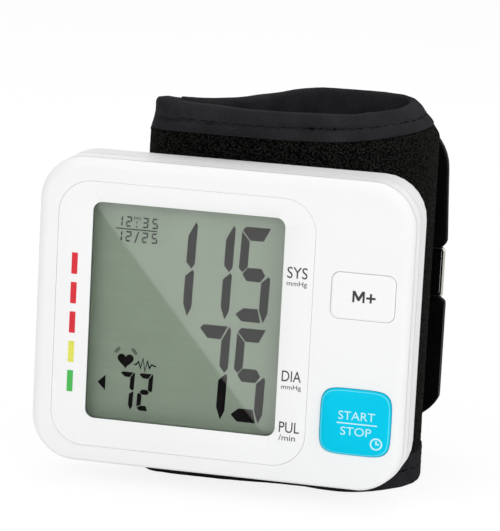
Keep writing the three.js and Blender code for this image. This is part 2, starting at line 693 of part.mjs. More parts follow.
function addElectronics(group) {
  const low = BODY_LIFT + BOARD_LOW;
  const high = BODY_LIFT + BOARD_HIGH;
  let board = block(BOARD_LEFT, BOARD_RIGHT, BOARD_Y, BOARD_BACK, low, high);
  for (const z of [low, high]) {
    board = cut(board, blockAt(BOARD_RIGHT, BOARD_Y, z, 2 * BOARD_NOTCH, 4, 2 * BOARD_NOTCH));
  }
  piece(group, "main_board", board, finish(0x1f5a3a, 0.5));
  const back = BOARD_BACK + SEAT;
  const chipZ = BODY_LIFT + CHIP_RISE;
  const chip = blockAt(CHIP_X, back + CHIP_T / 2, chipZ, CHIP_SIDE, CHIP_T, CHIP_SIDE);
  piece(group, "controller_chip", chip, finish(0x18181a, 0.55));
  const buzzerZ = BODY_LIFT + BUZZER_RISE;
  const buzzer = cut(
    rod(BUZZER_R, [BUZZER_X, back, buzzerZ], [BUZZER_X, back + BUZZER_T, buzzerZ], 28),
    rod(1, [BUZZER_X, back + BUZZER_T - 1, buzzerZ], [BUZZER_X, back + BUZZER_T + 1, buzzerZ], 12),
  );
  piece(group, "buzzer", buzzer, finish(0x202022, 0.5));
  const sensorRight = SENSOR_X + SENSOR_SIDE / 2;
  const sensor = join(
    blockAt(SENSOR_X, back + SENSOR_T / 2, NOZZLE_Z, SENSOR_SIDE, SENSOR_T, SENSOR_SIDE),
    airPort(sensorRight, 1),
  );
  piece(group, "pressure_sensor", sensor, finish(0x2c2d30, 0.5));
}

function addAirSystem(group) {
  const headLow = BODY_LIFT + PUMP_LOW;
  const headHigh = headLow + HEAD_L;
  const pumpBack = PUMP_Y + PUMP_D / 2;
  const can = rod(PUMP_W / 2, [PUMP_X, PUMP_Y, headHigh + SEAT], [PUMP_X, PUMP_Y, headHigh + MOTOR_L], 32);
  const flats = blockAt(PUMP_X, PUMP_Y, headHigh + MOTOR_L / 2, 2 * PUMP_W, PUMP_D, 2 * MOTOR_L);
  const tail = rod(2, [PUMP_X, PUMP_Y, headHigh + MOTOR_L - 1], [PUMP_X, PUMP_Y, headHigh + MOTOR_L + 1], 16);
  piece(group, "pump_motor", join(can.intersect(flats), tail), finish(0xb9bcc0, 0.3, 1));
  const portX = PUMP_X - PUMP_W / 2;
  const portZ = headLow + HEAD_L / 3;
  const head = join(
    blockAt(PUMP_X, PUMP_Y, headLow + HEAD_L / 2, PUMP_W, PUMP_D, HEAD_L),
    rod(PORT_R, [portX + 1, PUMP_Y, portZ], [portX - PORT_L, PUMP_Y, portZ], 12),
  );
  const gland = block(PUMP_X - 1, PUMP_X + 1, pumpBack - 1, pumpBack + 1, headLow - 1, headHigh + 1);
  piece(group, "pump_head", cut(head, gland), finish(0x3d3f44, 0.55));
  const valveZ = BODY_LIFT + VALVE_LOW + VALVE_H / 2;
  const valve = join(
    blockAt(VALVE_X, AIR_Y, valveZ, VALVE_W, VALVE_D, VALVE_H),
    airPort(VALVE_X - VALVE_W / 2, -1),
  );
  piece(group, "release_valve", valve, finish(0x9c9fa3, 0.4, 0.6));
}

// A port on the air line, standing out from a face at x to one side
const airPort = (x, side) =>
  rod(PORT_R, [x - side, AIR_Y, NOZZLE_Z], [x + side * PORT_L, AIR_Y, NOZZLE_Z], 12);

// The cover's outer face in plan: front ply, right turn, back, and the swing to the tucked end
function bandPath() {
  const path = new THREE.Path();
  const turnY = PLY_Y + TURN_FRONT_R;
  path.moveTo(FOLD_X + GAP, PLY_Y);
  for (let step = 1; step <= 6; step++) {
    path.lineTo(FOLD_X + GAP + (FRONT_L * step) / 6, PLY_Y);
  }
  path.absarc(TURN_X, turnY, TURN_FRONT_R, -Math.PI / 2, 0, false);
  path.absarc(TURN_X + TURN_FRONT_R - TURN_BACK_R, turnY, TURN_BACK_R, 0, Math.PI / 2, false);
  path.lineTo(BEND_X, BACK_Y);
  const tuck = tuckHandle();
  path.bezierCurveTo(BEND_X - BEND_PULL, BACK_Y, tuck.x, tuck.y, TUCK_X, TUCK_Y);
  path.lineTo(TUCK_X - TUCK_L, TUCK_Y - TUCK_SLOPE * TUCK_L);
  return path;
}

const tuckHandle = () => new THREE.Vector2(TUCK_X + TUCK_PULL, TUCK_Y + TUCK_SLOPE * TUCK_PULL);

// The same swing followed outwards from the fold, then straight to the strap's end
function strapPath() {
  const path = new THREE.Path();
  const tuck = tuckHandle();
  const startX = FOLD_X + GAP + TUCK_SLOPE * (STRAP_IN + STRAP_T);
  path.moveTo(startX, TUCK_Y - TUCK_SLOPE * (TUCK_X - startX));
  path.lineTo(TUCK_X, TUCK_Y);
  path.bezierCurveTo(tuck.x, tuck.y, BEND_X - BEND_PULL, BACK_Y, BEND_X, BACK_Y);
  path.lineTo(STRAP_END_X, BACK_Y);
  return path;
}

const smooth = (from, to, value) => THREE.MathUtils.smoothstep(value, from, to);

const BAND = stations(bandPath(), 10);
const TURN_L = (Math.PI / 2) * (TURN_FRONT_R + TURN_BACK_R);
const FORMER_END = FRONT_L + TURN_L + FORMER_TAIL;

// Thickness of the band: full over the former, thin at the tucked end
function bandThickness(along) {
  return PLY_T + (TUCK_T - PLY_T) * smooth(FORMER_END, FORMER_END + 1.5 * FORMER_TAIL, along);
}

const stretch = (from, to) => BAND.filter((s) => s.along > from && s.along < to);

// The upper hem rolls forward where it stands above the housing
const UPPER_ROLL = smooth(0, HEM_ROLL, HEM_RISE);

// The roll of the hem rises from the fold and fades out into the right turn
function rollAt(along) {
  const rise = smooth(0, 0.25 * FRONT_L, along);
  const fade = 1 - smooth(0.6 * FRONT_L, 1.2 * FRONT_L, along);
  return HEM_ROLL * rise * fade;
}

function hem(upper) {
  const turn = (z) => (upper ? CUFF_H - z : z);
  const flat = GAP + HEM_T;
  return sweep(BAND, ({ along }) => {
    const thick = bandThickness(along);
    const roll = rollAt(along) * (upper ? UPPER_ROLL : 1);
    const profile = [
      [-flat, HEM_H],
      [-flat - 0.7 * roll, (HEM_H + HEM_CROWN) / 2],
      [-flat - roll, HEM_CROWN],
      [-flat - roll + HEM_EASE, 0],
      [thick + flat - HEM_EASE, 0],
      [thick + flat, HEM_CROWN],
      [thick + flat, HEM_H],
      [thick + GAP, HEM_H],
      [thick + GAP, HEM_CAP],
      [-GAP, HEM_CAP],
      [-GAP, HEM_H],
    ];
    const turned = profile.map(([offset, z]) => [offset, turn(z)]);
    return upper ? turned.reverse() : turned;
  });
}

function foldSolid() {
  const strapStart = stations(strapPath(), 7)[0];
  const backY = strapStart.y + STRAP_IN + STRAP_T;
  const radius = (backY - PLY_Y) / 2;
  const arc = new THREE.Path();
  arc.absarc(FOLD_X, PLY_Y + radius, radius, -Math.PI / 2, (-3 * Math.PI) / 2, true);
  const line = stations(arc, 9);
  const whole = line.at(-1).along;
  return sweep(line, ({ along }) => {
    const share = smooth(0.45 * whole, whole, along);
    const low = share * STRAP_LOW;
    const high = CUFF_H + share * (STRAP_LOW + STRAP_H - CUFF_H);
    return bandProfile(-STRAP_T, 0, low, high);
  });
}

function strapSolid() {
  const line = stations(strapPath(), 16);
  const band = sweep(line, () => bandProfile(STRAP_IN, STRAP_IN + STRAP_T, 0, CUFF_H));
  const span = 2 * (STRAP_END_X - FOLD_X);
  const outline = roundedOutline(span, STRAP_H, STRAP_CORNER, STRAP_END_X - span / 2, STRAP_MID, 6);
  const y0 = TUCK_Y - CUT_OVER;
  const y1 = BACK_Y + CUT_OVER;
  const notchWide = 2 * NOTCH_D;
  const notch = prism(roundedOutline(notchWide, NOTCH_H, 1.2, STRAP_END_X, STRAP_MID), y0, y1);
  const half = TONGUE_H / 2;
  const root = STRAP_END_X - NOTCH_D - 1;
  const tongue = blockAt((root + EYE_X) / 2, EYE_Y, STRAP_MID, EYE_X - root, STRAP_T / 2, TONGUE_H - GAP);
  const upright = (radius, reach, sides) =>
    rod(radius, [EYE_X, EYE_Y, STRAP_MID - reach], [EYE_X, EYE_Y, STRAP_MID + reach], sides);
  const eye = upright(TONGUE_EYE_R, half, 18);
  const bore = upright(RING_WIRE / 2 + SEAT, half + 1, 14);
  const shaped = cut(band.intersect(prism(outline, y0, y1)), notch);
  return cut(join(shaped, tongue, eye), bore);
}

// Closed wire ring: an outer bar at the strap's end and an inner bar through the tongue's eye
function ringSolid() {
  const radius = RING_WIRE / 2;
  const half = RING_H / 2 - radius;
  const corner = (sx, sz) => [sx < 0 ? EYE_X : RING_BAR_X, EYE_Y, STRAP_MID + sz * half];
  const corners = [corner(-1, -1), corner(1, -1), corner(1, 1), corner(-1, 1)];
  let ring = null;
  corners.forEach((from, i) => {
    const side = rod(radius, from, corners[(i + 1) % corners.length], 12);
    const ball = solidOf(new THREE.SphereGeometry(radius, 12, 8).translate(...from));
    ring = ring ? join(ring, side, ball) : join(side, ball);
  });
  return ring;
}

function addCuff(group) {
  const cloth = () => finish(BLACK_CLOTH.color, BLACK_CLOTH.roughness);
  const bandLow = HEM_CAP + GAP;
  const bandHigh = CUFF_H - HEM_CAP - GAP;
  const lugHoles = lugPlaces().map(([x, z]) =>
    blockAt(x, PLY_Y, z, LUG_T + LUG_NOSE + 2 * GAP, 3 * COVER_T + 1, LUG_W + 2 * GAP),
  );
  const nozzleHole = (radius) => nozzleLine(radius, PLY_Y - 2, PLY_Y + PLY_T);
  const cover = sweep(BAND, () => bandProfile(0, COVER_T, bandLow, bandHigh));
  piece(group, "cuff_cover", cut(cover, nozzleHole(NOZZLE_R + GAP), ...lugHoles), cloth());
  const formerLow = (CUFF_H - FORMER_H) / 2;
  const formerIn = COVER_T + GAP;
  const formerLine = stretch(2, FORMER_END);
  const formerHigh = formerLow + FORMER_H;
  let former = sweep(formerLine, () => bandProfile(formerIn, formerIn + FORMER_T, formerLow, formerHigh));
  const formerY = PLY_Y + formerIn;
  for (const [x, z, side] of lugPlaces()) {
    const tip = DECK_IN - GAP - LUG_TIP;
    const root = formerY + FORMER_T / 2;
    const shank = blockAt(x, (tip + root) / 2, z, LUG_T, root - tip, LUG_W);
    const noseX = x + (side * (LUG_T + LUG_NOSE)) / 2;
    const nose = blockAt(noseX, tip + LUG_TIP / 2, z, LUG_NOSE + LUG_T / 2, LUG_TIP, LUG_W);
    former = join(former, shank, nose);
  }
  former = cut(former, nozzleHole(NOZZLE_FLANGE_R + GAP));
  piece(group, "cuff_former", former, finish(0x5a5c60, 0.6));
  const bladderIn = formerIn + FORMER_T + GAP;
  const bladderLow = (CUFF_H - BLADDER_H) / 2;
  const bladderLine = stretch(BLADDER_FROM, FORMER_END - 2);
  const bladder = sweep(bladderLine, () =>
    bandProfile(bladderIn, bladderIn + BLADDER_T, bladderLow, bladderLow + BLADDER_H),
  );
  piece(group, "cuff_bladder", bladder, finish(0x303236, 0.6));
  const nozzleTip = AIR_Y + MANIFOLD_D / 2 + GAP;
  const nozzleBack = PLY_Y + bladderIn - SEAT;
  const flange = nozzleLine(NOZZLE_FLANGE_R, nozzleBack - FORMER_T, nozzleBack, 24);
  const nozzle = cut(
    join(nozzleLine(NOZZLE_R, nozzleTip, nozzleBack), flange),
    nozzleLine(PORT_R, nozzleTip - 1, nozzleBack + 1, 14),
  );
  piece(group, "cuff_nozzle", nozzle, finish(0x6d6f73, 0.5));
  const liner = sweep(BAND, ({ along }) => {
    const far = bandThickness(along);
    return bandProfile(far - LINER_T, far, bandLow, bandHigh);
  });
  piece(group, "cuff_liner", liner, cloth());
  piece(group, "cuff_hem_upper", hem(true), cloth());
  piece(group, "cuff_hem_lower", hem(false), cloth());
  piece(group, "cuff_fold", foldSolid(), cloth());
  piece(group, "cuff_strap", strapSolid(), cloth());
  const hookX = STRAP_END_X - HOOK_END - HOOK_L / 2;
  const hookOutline = roundedOutline(HOOK_L, HOOK_H, 4, hookX, STRAP_MID);
  const hook = prism(hookOutline, BACK_Y + GAP, BACK_Y + GAP + HOOK_T);
  piece(group, "hook_patch", hook, finish(0x1b1b1d, 0.9));
  piece(group, "pull_ring", ringSolid(), finish(0xd8dadd, 0.12, 1));
}

function addManifold(group) {
  const top = NOZZLE_Z + MANIFOLD_H / 2;
  const left = MANIFOLD_X - MANIFOLD_W / 2;
  const right = MANIFOLD_X + MANIFOLD_W / 2;
  const body = join(
    blockAt(MANIFOLD_X, AIR_Y, NOZZLE_Z, MANIFOLD_W, MANIFOLD_D, MANIFOLD_H),
    rod(PORT_R, [MANIFOLD_X, AIR_Y, top - 1], [MANIFOLD_X, AIR_Y, top + PORT_L], 12),
    airPort(left, -1),
    airPort(right, 1),
  );
  piece(group, "air_manifold", body, finish(0xd9d9d4, 0.5));
  const bore = PORT_R + GAP;
  const radius = bore + TUBE_WALL;
  const pumpZ = BODY_LIFT + PUMP_LOW + HEAD_L / 3;
  const pumpPort = PUMP_X - PUMP_W / 2 - GAP;
  const rise = top + GAP;
  const pumpTube = bar(
    [
      [MANIFOLD_X, AIR_Y, rise],
      [MANIFOLD_X, AIR_Y, rise + PORT_L],
      [MANIFOLD_X - 1, (AIR_Y + PUMP_Y) / 2, pumpZ - 2 * PORT_L],
      [pumpPort - PORT_L, PUMP_Y, pumpZ],
      [pumpPort, PUMP_Y, pumpZ],
    ],
    radius,
    bore,
  );
  piece(group, "pump_tube", pumpTube, finish(0xc9c9c4, 0.4));
  const link = (from) =>
    cut(
      rod(radius, [from + GAP, AIR_Y, NOZZLE_Z], [from + LINK_L - GAP, AIR_Y, NOZZLE_Z]),
      rod(bore, [from, AIR_Y, NOZZLE_Z], [from + LINK_L, AIR_Y, NOZZLE_Z], 14),
    );
  piece(group, "sensor_tube", link(left - LINK_L), finish(0xc9c9c4, 0.4));
  piece(group, "valve_tube", link(right), finish(0xc9c9c4, 0.4));
}

// Two cells side by side, in series: a coil and a plate at the lower end, a bridge across the upper end
function coil(x, zFrom, zTo) {
  const points = [];
  const count = SPRING_TURNS * 8;
  for (let i = 0; i <= count; i++) {
    const turn = (i / 8) * 2 * Math.PI;
    const z = zFrom + ((zTo - zFrom) * i) / count;
    const r = SPRING_R - (i / count) * (SPRING_R - CELL_NUB_R);
    points.push([x + r * Math.cos(turn), CELL_Y + r * Math.sin(turn), z]);
  }
  return bar(points, SPRING_WIRE / 2, 0, 6, count);
}

function addBattery(group) {
  const xs = { right: CELL_X, left: CELL_X - CELL_PITCH };
  const steel = () => finish(0xc3c6ca, 0.3, 1);
  const plateLow = BAY_LOW + SEAT;
  const plateHigh = BAY_LOW + BAY_H - SEAT;
  const half = CONTACT_W / 2;
  const tab = (x, z0, z1) => block(x - half, x + half, CELL_Y - half, CELL_Y + half, z0, z1);
  const springTop = plateLow + CONTACT_T + SPRING_L;
  const wire = SPRING_WIRE / 2;
  const spring = join(
    tab(xs.left, plateLow, plateLow + CONTACT_T),
    coil(xs.left, plateLow + CONTACT_T + wire * 0.6, springTop - wire),
  );
  piece(group, "battery_spring", spring, steel());
  const cellLow = springTop + SEAT;
  const nub = (x, z0, z1) => rod(CELL_NUB_R, [x, CELL_Y, z0], [x, CELL_Y, z1], 16);
  const can = (x, z0) => rod(CELL_R, [x, CELL_Y, z0], [x, CELL_Y, z0 + CELL_L], 32);
  const leftTop = cellLow + CELL_L;
  const leftCell = join(can(xs.left, cellLow), nub(xs.left, leftTop - 1, leftTop + CELL_NUB_L));
  piece(group, "battery_cell_left", leftCell, finish(0x3f6f3f, 0.35, 0.3));
  const nubLow = plateLow + CONTACT_T + SEAT;
  const rightLow = nubLow + CELL_NUB_L;
  const rightCell = join(can(xs.right, rightLow), nub(xs.right, nubLow, rightLow + 0.5));
  piece(group, "battery_cell_right", rightCell, finish(0x3f6f3f, 0.35, 0.3));
  piece(group, "battery_plate", tab(xs.right, plateLow, plateLow + CONTACT_T), steel());
  const bridgePlate = block(
    xs.left - half,
    xs.right + half,
    CELL_Y - half,
    CELL_Y + half,
    plateHigh - CONTACT_T,
    plateHigh,
  );
  const rightTop = rightLow + CELL_L + SEAT;
  const bridge = join(bridgePlate, coil(xs.right, plateHigh - CONTACT_T - wire * 0.6, rightTop + wire));
  piece(group, "battery_bridge", bridge, steel());
}

const monitor = new THREE.Group();
monitor.name = "wrist_blood_pressure_monitor";
const housing = new THREE.Group();
const cuff = new THREE.Group();
monitor.add(housing, cuff);
addHousing(housing);
addDisplay(housing);
addButtons(housing);
addElectronics(housing);
addAirSystem(housing);
addManifold(housing);
addBattery(housing);
addCuff(cuff);
const middle = new THREE.Box3().setFromObject(monitor).getCenter(new THREE.Vector3());
housing.position.set(-middle.x, -middle.y, 0);
cuff.position.copy(housing.position);

export default monitor;
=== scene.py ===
"""Dressed model of a wrist blood pressure monitor: a white display housing on a closed black cuff.

Metres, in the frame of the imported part: X to the right of the face, Y from the face to the back, Z up.
"""

import enum
import json
import logging
import math
from dataclasses import dataclass, field
from typing import Callable, Sequence

import bmesh
import bpy
import numpy as np
from bmesh.types import BMEdge, BMesh, BMFace, BMVert
from bpy.types import Material, Node, NodeSocket, NodeTree, Object
from mathutils import Matrix, Vector, noise
from mathutils.bvhtree import BVHTree

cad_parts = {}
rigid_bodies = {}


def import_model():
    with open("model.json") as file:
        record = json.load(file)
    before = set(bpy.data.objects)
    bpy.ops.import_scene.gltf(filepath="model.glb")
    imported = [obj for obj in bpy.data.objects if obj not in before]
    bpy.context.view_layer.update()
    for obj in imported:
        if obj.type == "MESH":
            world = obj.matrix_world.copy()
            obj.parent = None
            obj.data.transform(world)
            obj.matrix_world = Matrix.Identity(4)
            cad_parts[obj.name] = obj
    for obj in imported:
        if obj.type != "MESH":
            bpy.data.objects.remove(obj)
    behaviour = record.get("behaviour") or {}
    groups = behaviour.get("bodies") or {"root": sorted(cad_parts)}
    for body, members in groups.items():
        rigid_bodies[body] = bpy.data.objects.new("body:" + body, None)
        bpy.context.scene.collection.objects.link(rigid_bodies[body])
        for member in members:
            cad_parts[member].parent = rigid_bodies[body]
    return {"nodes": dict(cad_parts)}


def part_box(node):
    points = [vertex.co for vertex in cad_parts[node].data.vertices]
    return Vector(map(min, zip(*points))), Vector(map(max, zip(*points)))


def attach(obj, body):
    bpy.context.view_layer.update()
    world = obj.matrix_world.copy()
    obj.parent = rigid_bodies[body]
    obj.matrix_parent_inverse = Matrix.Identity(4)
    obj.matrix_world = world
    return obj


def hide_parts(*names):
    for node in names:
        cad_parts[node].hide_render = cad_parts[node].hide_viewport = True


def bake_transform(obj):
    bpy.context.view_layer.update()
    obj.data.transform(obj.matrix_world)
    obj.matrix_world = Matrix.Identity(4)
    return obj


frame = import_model()

log = logging.getLogger("monitor")

MM = 0.001
PICTURE_W, PICTURE_H = 500, 531
SENSOR = 36.0  # long side of the camera's sensor, in its own millimetres
MERGE = 1e-7  # points closer than this become one
WELD = 0.002 * MM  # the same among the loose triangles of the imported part
SHARP = math.radians(32.0)  # edges that turn more than this stay sharp
FLAT_WEIGHT = 90  # how far large faces lead the shading of a hard piece
CLOUD_RANGE = (0.3, 0.7)  # what a noise node's patches fill of its range

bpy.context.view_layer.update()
FACE_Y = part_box("front_shell")[0].y  # front face of the housing

Pair = tuple[float, float]
Triple = tuple[float, float, float]
Colour = Triple
Box = tuple[float, float, float, float]
Ring = list[Pair]
Edges = list[BMEdge]
Outline = Callable[[float], Ring]  # gives an outline for a growth all round


def srgb(*values: int) -> Colour:
    """Gives the linear colour of three screen values, each from 0 to 255."""
    shares = [value / 255 for value in values]
    return tuple(s / 12.92 if s <= 0.04045 else ((s + 0.055) / 1.055) ** 2.4 for s in shares)


def shade(colour: Colour, amount: float) -> tuple[float, float, float, float]:
    """Gives a colour made lighter or darker, with full cover, for a node's socket."""
    red, green, blue = (min(part * amount, 1.0) for part in colour)
    return red, green, blue, 1.0


def ease(low: float, high: float, value: float) -> float:
    """Rises smoothly from 0 at low to 1 at high."""
    share = min(max((value - low) / (high - low), 0.0), 1.0)
    return share * share * (3 - 2 * share)


def ripple(along: float, height: float, seed: float) -> float:
    """Gives a smooth random value at a place on a cloth, with the place counted in waves."""
    return noise.noise(Vector((along, height, seed)))


def behind_face(depth: float) -> float:
    """Gives the Y of a depth behind the face."""
    return FACE_Y + depth


class Operation(enum.Enum):
    """How two numbers are combined in a material."""

    SUBTRACT = "SUBTRACT"
    MULTIPLY = "MULTIPLY"
    MAXIMUM = "MAXIMUM"


class Shading:
    """A material's node tree while it is wired."""

    def __init__(self, name: str) -> None:
        """Starts a material with one Principled surface.

        Args:
            name: Name of the material.
        """
        self.material = bpy.data.materials.new(name)
        self.material.use_nodes = True
        self.tree = self.material.node_tree
        self.tree.nodes.clear()
        self.output = self.add("ShaderNodeOutputMaterial")
        self.surface = self.add("ShaderNodeBsdfPrincipled")
        self.link(self.surface.outputs["BSDF"], self.output.inputs["Surface"])
        self.coordinates = self.add("ShaderNodeTexCoord")

    def add(self, kind: str, **values: float | Sequence[float]) -> Node:
        """Adds a node.

        Args:
            kind: Type of the node.
            values: Values of its sockets, by name.

        Returns:
            The node.
        """
        node = self.tree.nodes.new(kind)
        for socket, value in values.items():
            node.inputs[socket].default_value = value
        return node

    def link(self, source: NodeSocket, target: NodeSocket) -> None:
        """Joins an output to an input."""
        self.tree.links.new(source, target)

    def noise(self, size: float, detail: float = 2.0, scale: Triple = (1.0, 1.0, 1.0)) -> NodeSocket:
        """Gives a cloud of soft patches.

        Args:
            size: How far a patch is across.
            detail: Number of finer layers.
            scale: Scale of the object's coordinates along each axis.

        Returns:
            The cloud's value.
        """
        mapping = self.add("ShaderNodeMapping", Scale=scale)
        cloud = self.add("ShaderNodeTexNoise", Scale=1 / size, Detail=detail)
        self.link(self.coordinates.outputs["Object"], mapping.inputs["Vector"])
        self.link(mapping.outputs["Vector"], cloud.inputs["Vector"])
        return cloud.outputs["Fac"]

    def ramp(self, value: NodeSocket, tones: Sequence[Sequence[float]], places: Sequence[float]) -> None:
        """Colours the surface by a value.

        Args:
            value: The value.
            tones: The darker and the lighter tone.
            places: The values at which they are reached.
        """
        ramp = self.add("ShaderNodeValToRGB")
        for element, place, tone in zip(ramp.color_ramp.elements, places, tones):
            element.position = place
            element.color = tone
        self.link(value, ramp.inputs["Fac"])
        self.link(ramp.outputs["Color"], self.surface.inputs["Base Color"])

    def spread(self, value: NodeSocket, low: float, high: float) -> None:
        """Sets the surface's roughness by a cloud.

        Args:
            value: The cloud.
            low: Least roughness.
            high: Greatest roughness.
        """
        span = self.add("ShaderNodeMapRange")
        for socket, number in zip(("From Min", "From Max", "To Min", "To Max"), (*CLOUD_RANGE, low, high)):
            span.inputs[socket].default_value = number
        self.link(value, span.inputs["Value"])
        self.link(span.outputs["Result"], self.surface.inputs["Roughness"])

    def bump(self, height: NodeSocket, depth: float) -> None:
        """Raises the surface.

        Args:
            height: The height field.
            depth: How far it rises.
        """
        bump = self.add("ShaderNodeBump", Distance=depth)
        self.link(height, bump.inputs["Height"])
        self.link(bump.outputs["Normal"], self.surface.inputs["Normal"])

    def combine(self, first: NodeSocket, second: NodeSocket, operation: Operation) -> NodeSocket:
        """Combines two numbers.

        Args:
            first: The first number.
            second: The second number.
            operation: How they are combined.

        Returns:
            The result.
        """
        node = self.add("ShaderNodeMath")
        node.operation = operation.value
        self.link(first, node.inputs[0])
        self.link(second, node.inputs[1])
        return node.outputs["Value"]


@dataclass(frozen=True)
class Finish:
    """A moulded, printed or plated surface: a colour with a faint cloud, and a grain in gloss and relief."""

    name: str
    colour: Colour
    roughness: float = 0.45
    metallic: float = 0.0
    specular: float = 0.5
    cloud: float = 0.03
    cloud_size: float = 9 * MM
    cloud_detail: float = 3.0
    tone_places: Pair = CLOUD_RANGE
    grain_size: float = 0.4 * MM
    relief: float = 0.006 * MM
    gloss_spread: float = 0.05
    coat: float = 0.0
    sheen: float = 0.0

    def material(self) -> Material:
        """Gives the finish's material, made at its first use.

        Returns:
            The material.
        """
        known = bpy.data.materials.get(self.name)
        if known:
            return known
        shading = Shading(self.name)
        sockets = shading.surface.inputs
        sockets["Metallic"].default_value = self.metallic
        sockets["Specular IOR Level"].default_value = self.specular
        sockets["Coat Weight"].default_value = self.coat
        sockets["Sheen Weight"].default_value = self.sheen
        self.paint(shading)
        return shading.material

    def gloss(self) -> tuple[float, float]:
        """Gives the least and the greatest roughness."""
        return self.roughness - self.gloss_spread, self.roughness + self.gloss_spread

    def tint(self, shading: Shading, value: NodeSocket) -> None:
        """Colours the surface by a value, from a darker to a lighter tone."""
        tones = [shade(self.colour, 1 + side * self.cloud) for side in (-1, 1)]
        shading.ramp(value, tones, self.tone_places)

    def paint(self, shading: Shading) -> None:
        """Wires colour, gloss and relief.

        Args:
            shading: The material's node tree.
        """
        self.tint(shading, shading.noise(self.cloud_size, self.cloud_detail))
        grain = shading.noise(self.grain_size)
        shading.spread(grain, *self.gloss())
        shading.bump(grain, self.relief)


@dataclass(frozen=True)
class BrushedMetal(Finish):
    """Metal with fine lines drawn along Z."""

    metallic: float = 1.0
    cloud_detail: float = 2.0
    line_pitch: float = 0.12 * MM
    line_stretch: float = 0.03

    def paint(self, shading: Shading) -> None:
        """Wires the drawn lines into gloss and relief.

        Args:
            shading: The material's node tree.
        """
        self.tint(shading, shading.noise(self.cloud_size, self.cloud_detail))
        lines = shading.noise(self.line_pitch, 1.0, (1.0, 1.0, self.line_stretch))
        shading.spread(lines, *self.gloss())
        shading.bump(lines, self.relief)


@dataclass(frozen=True)
class Velour(Finish):
    """Brushed loop pile: short tufts coloured by their height, lighter on the tips as a painted highlight and
    darker between them as painted shade.
    """

    roughness: float = 0.95
    specular: float = 0.02
    tuft: float = 0.38 * MM
    fibre_detail: float = 4.0
    nap: float = 3.5 * MM
    nap_gloss: float = 0.1
    relief: float = 0.45 * MM
    cloud: float = 0.95
    tone_places: Pair = (0.0, 0.55)
    sheen: float = 0.08
    sheen_roughness: float = 0.45
    sheen_tint: Colour = (0.72, 0.66, 0.6)

    def paint(self, shading: Shading) -> None:
        """Wires tufts and the lie of the nap.

        Args:
            shading: The material's node tree.
        """
        sockets = shading.surface.inputs
        sockets["Sheen Roughness"].default_value = self.sheen_roughness
        sockets["Sheen Tint"].default_value = shade(self.sheen_tint, 1.0)
        cells = shading.add("ShaderNodeTexVoronoi", Scale=1 / self.tuft)
        shading.link(shading.coordinates.outputs["Object"], cells.inputs["Vector"])
        fibres = shading.noise(self.tuft / 2, self.fibre_detail)
        tufts = shading.combine(fibres, cells.outputs["Distance"], Operation.SUBTRACT)
        # The colour follows the tufts' height: painted highlight on the tips, painted shade between them.
        self.tint(shading, tufts)
        shading.spread(shading.noise(self.nap), self.roughness - self.nap_gloss, self.roughness)
        shading.bump(tufts, self.relief)


@dataclass(frozen=True)
class Woven(Finish):
    """Smooth woven cloth: crossing yarns that follow the piece's own UV map, in metres."""

    roughness: float = 0.7
    specular: float = 0.0
    yarn: float = 0.42 * MM
    yarn_waver: float = 0.6
    relief: float = 0.05 * MM
    cloud: float = 0.3
    cloud_detail: float = 4.0
    tone_places: Pair = (0.15, 0.6)
    sheen: float = 0.02
    sheen_roughness: float = 0.4

    def paint(self, shading: Shading) -> None:
        """Wires warp and weft, with a slow change of tone over them.

        Args:
            shading: The material's node tree.
        """
        shading.surface.inputs["Sheen Roughness"].default_value = self.sheen_roughness
        yarns = []
        for direction in ("X", "Y"):
            scale = math.pi / (10 * self.yarn)
            wave = shading.add("ShaderNodeTexWave", Scale=scale, Distortion=self.yarn_waver)
            wave.bands_direction = direction
            shading.link(shading.coordinates.outputs["UV"], wave.inputs["Vector"])
            yarns.append(wave.outputs["Fac"])
        weave = shading.combine(*yarns, Operation.MAXIMUM)
        cloud = shading.noise(self.cloud_size, self.cloud_detail)
        self.tint(shading, shading.combine(weave, cloud, Operation.MULTIPLY))
        shading.spread(shading.noise(self.grain_size), *self.gloss())
        shading.bump(weave, self.relief)


@dataclass(frozen=True)
class DisplayGlass(Finish):
    """Liquid crystal glass: a grey-green reflector with very fine lines under a polished face."""

    cloud_detail: float = 1.0
    tone_places: Pair = (0.1, 0.45)
    gloss_spread: float = 0.04
    coat_roughness: float = 0.08
    line_pitch: float = 0.22 * MM
    line_stretch: float = 0.02

    def paint(self, shading: Shading) -> None:
        """Wires the reflector's lines and its slow change of tone.

        Args:
            shading: The material's node tree.
        """
        shading.surface.inputs["Coat Roughness"].default_value = self.coat_roughness
        lines = shading.noise(self.line_pitch, 1.0, (self.line_stretch, 1.0, 1.0))
        cloud = shading.noise(self.cloud_size, self.cloud_detail)
        self.tint(shading, shading.combine(lines, cloud, Operation.MULTIPLY))
        shading.spread(lines, *self.gloss())
        shading.bump(lines, self.relief)


@dataclass(frozen=True)
class ClearLens(Finish):
    """Clear plastic sheet: it bends and mirrors what is seen through it and lets the studio light in."""

    index: float = 1.49

    def paint(self, shading: Shading) -> None:
        """Wires the clear sheet, open to light on its way to the display.

        Args:
            shading: The material's node tree.
        """
        sockets = shading.surface.inputs
        sockets["Transmission Weight"].default_value = 1.0
        sockets["IOR"].default_value = self.index
        cloud = shading.noise(self.cloud_size)
        self.tint(shading, cloud)
        shading.spread(cloud, 0.0, self.roughness)
        path = shading.add("ShaderNodeLightPath")
        rays = (path.outputs[name] for name in ("Is Shadow Ray", "Is Diffuse Ray"))
        lit = shading.combine(*rays, Operation.MAXIMUM)
        mix = shading.add("ShaderNodeMixShader")
        open_way = shading.add("ShaderNodeBsdfTransparent")
        shading.link(lit, mix.inputs["Fac"])
        shading.link(shading.surface.outputs["BSDF"], mix.inputs[1])
        shading.link(open_way.outputs["BSDF"], mix.inputs[2])
        shading.link(mix.outputs["Shader"], shading.output.inputs["Surface"])


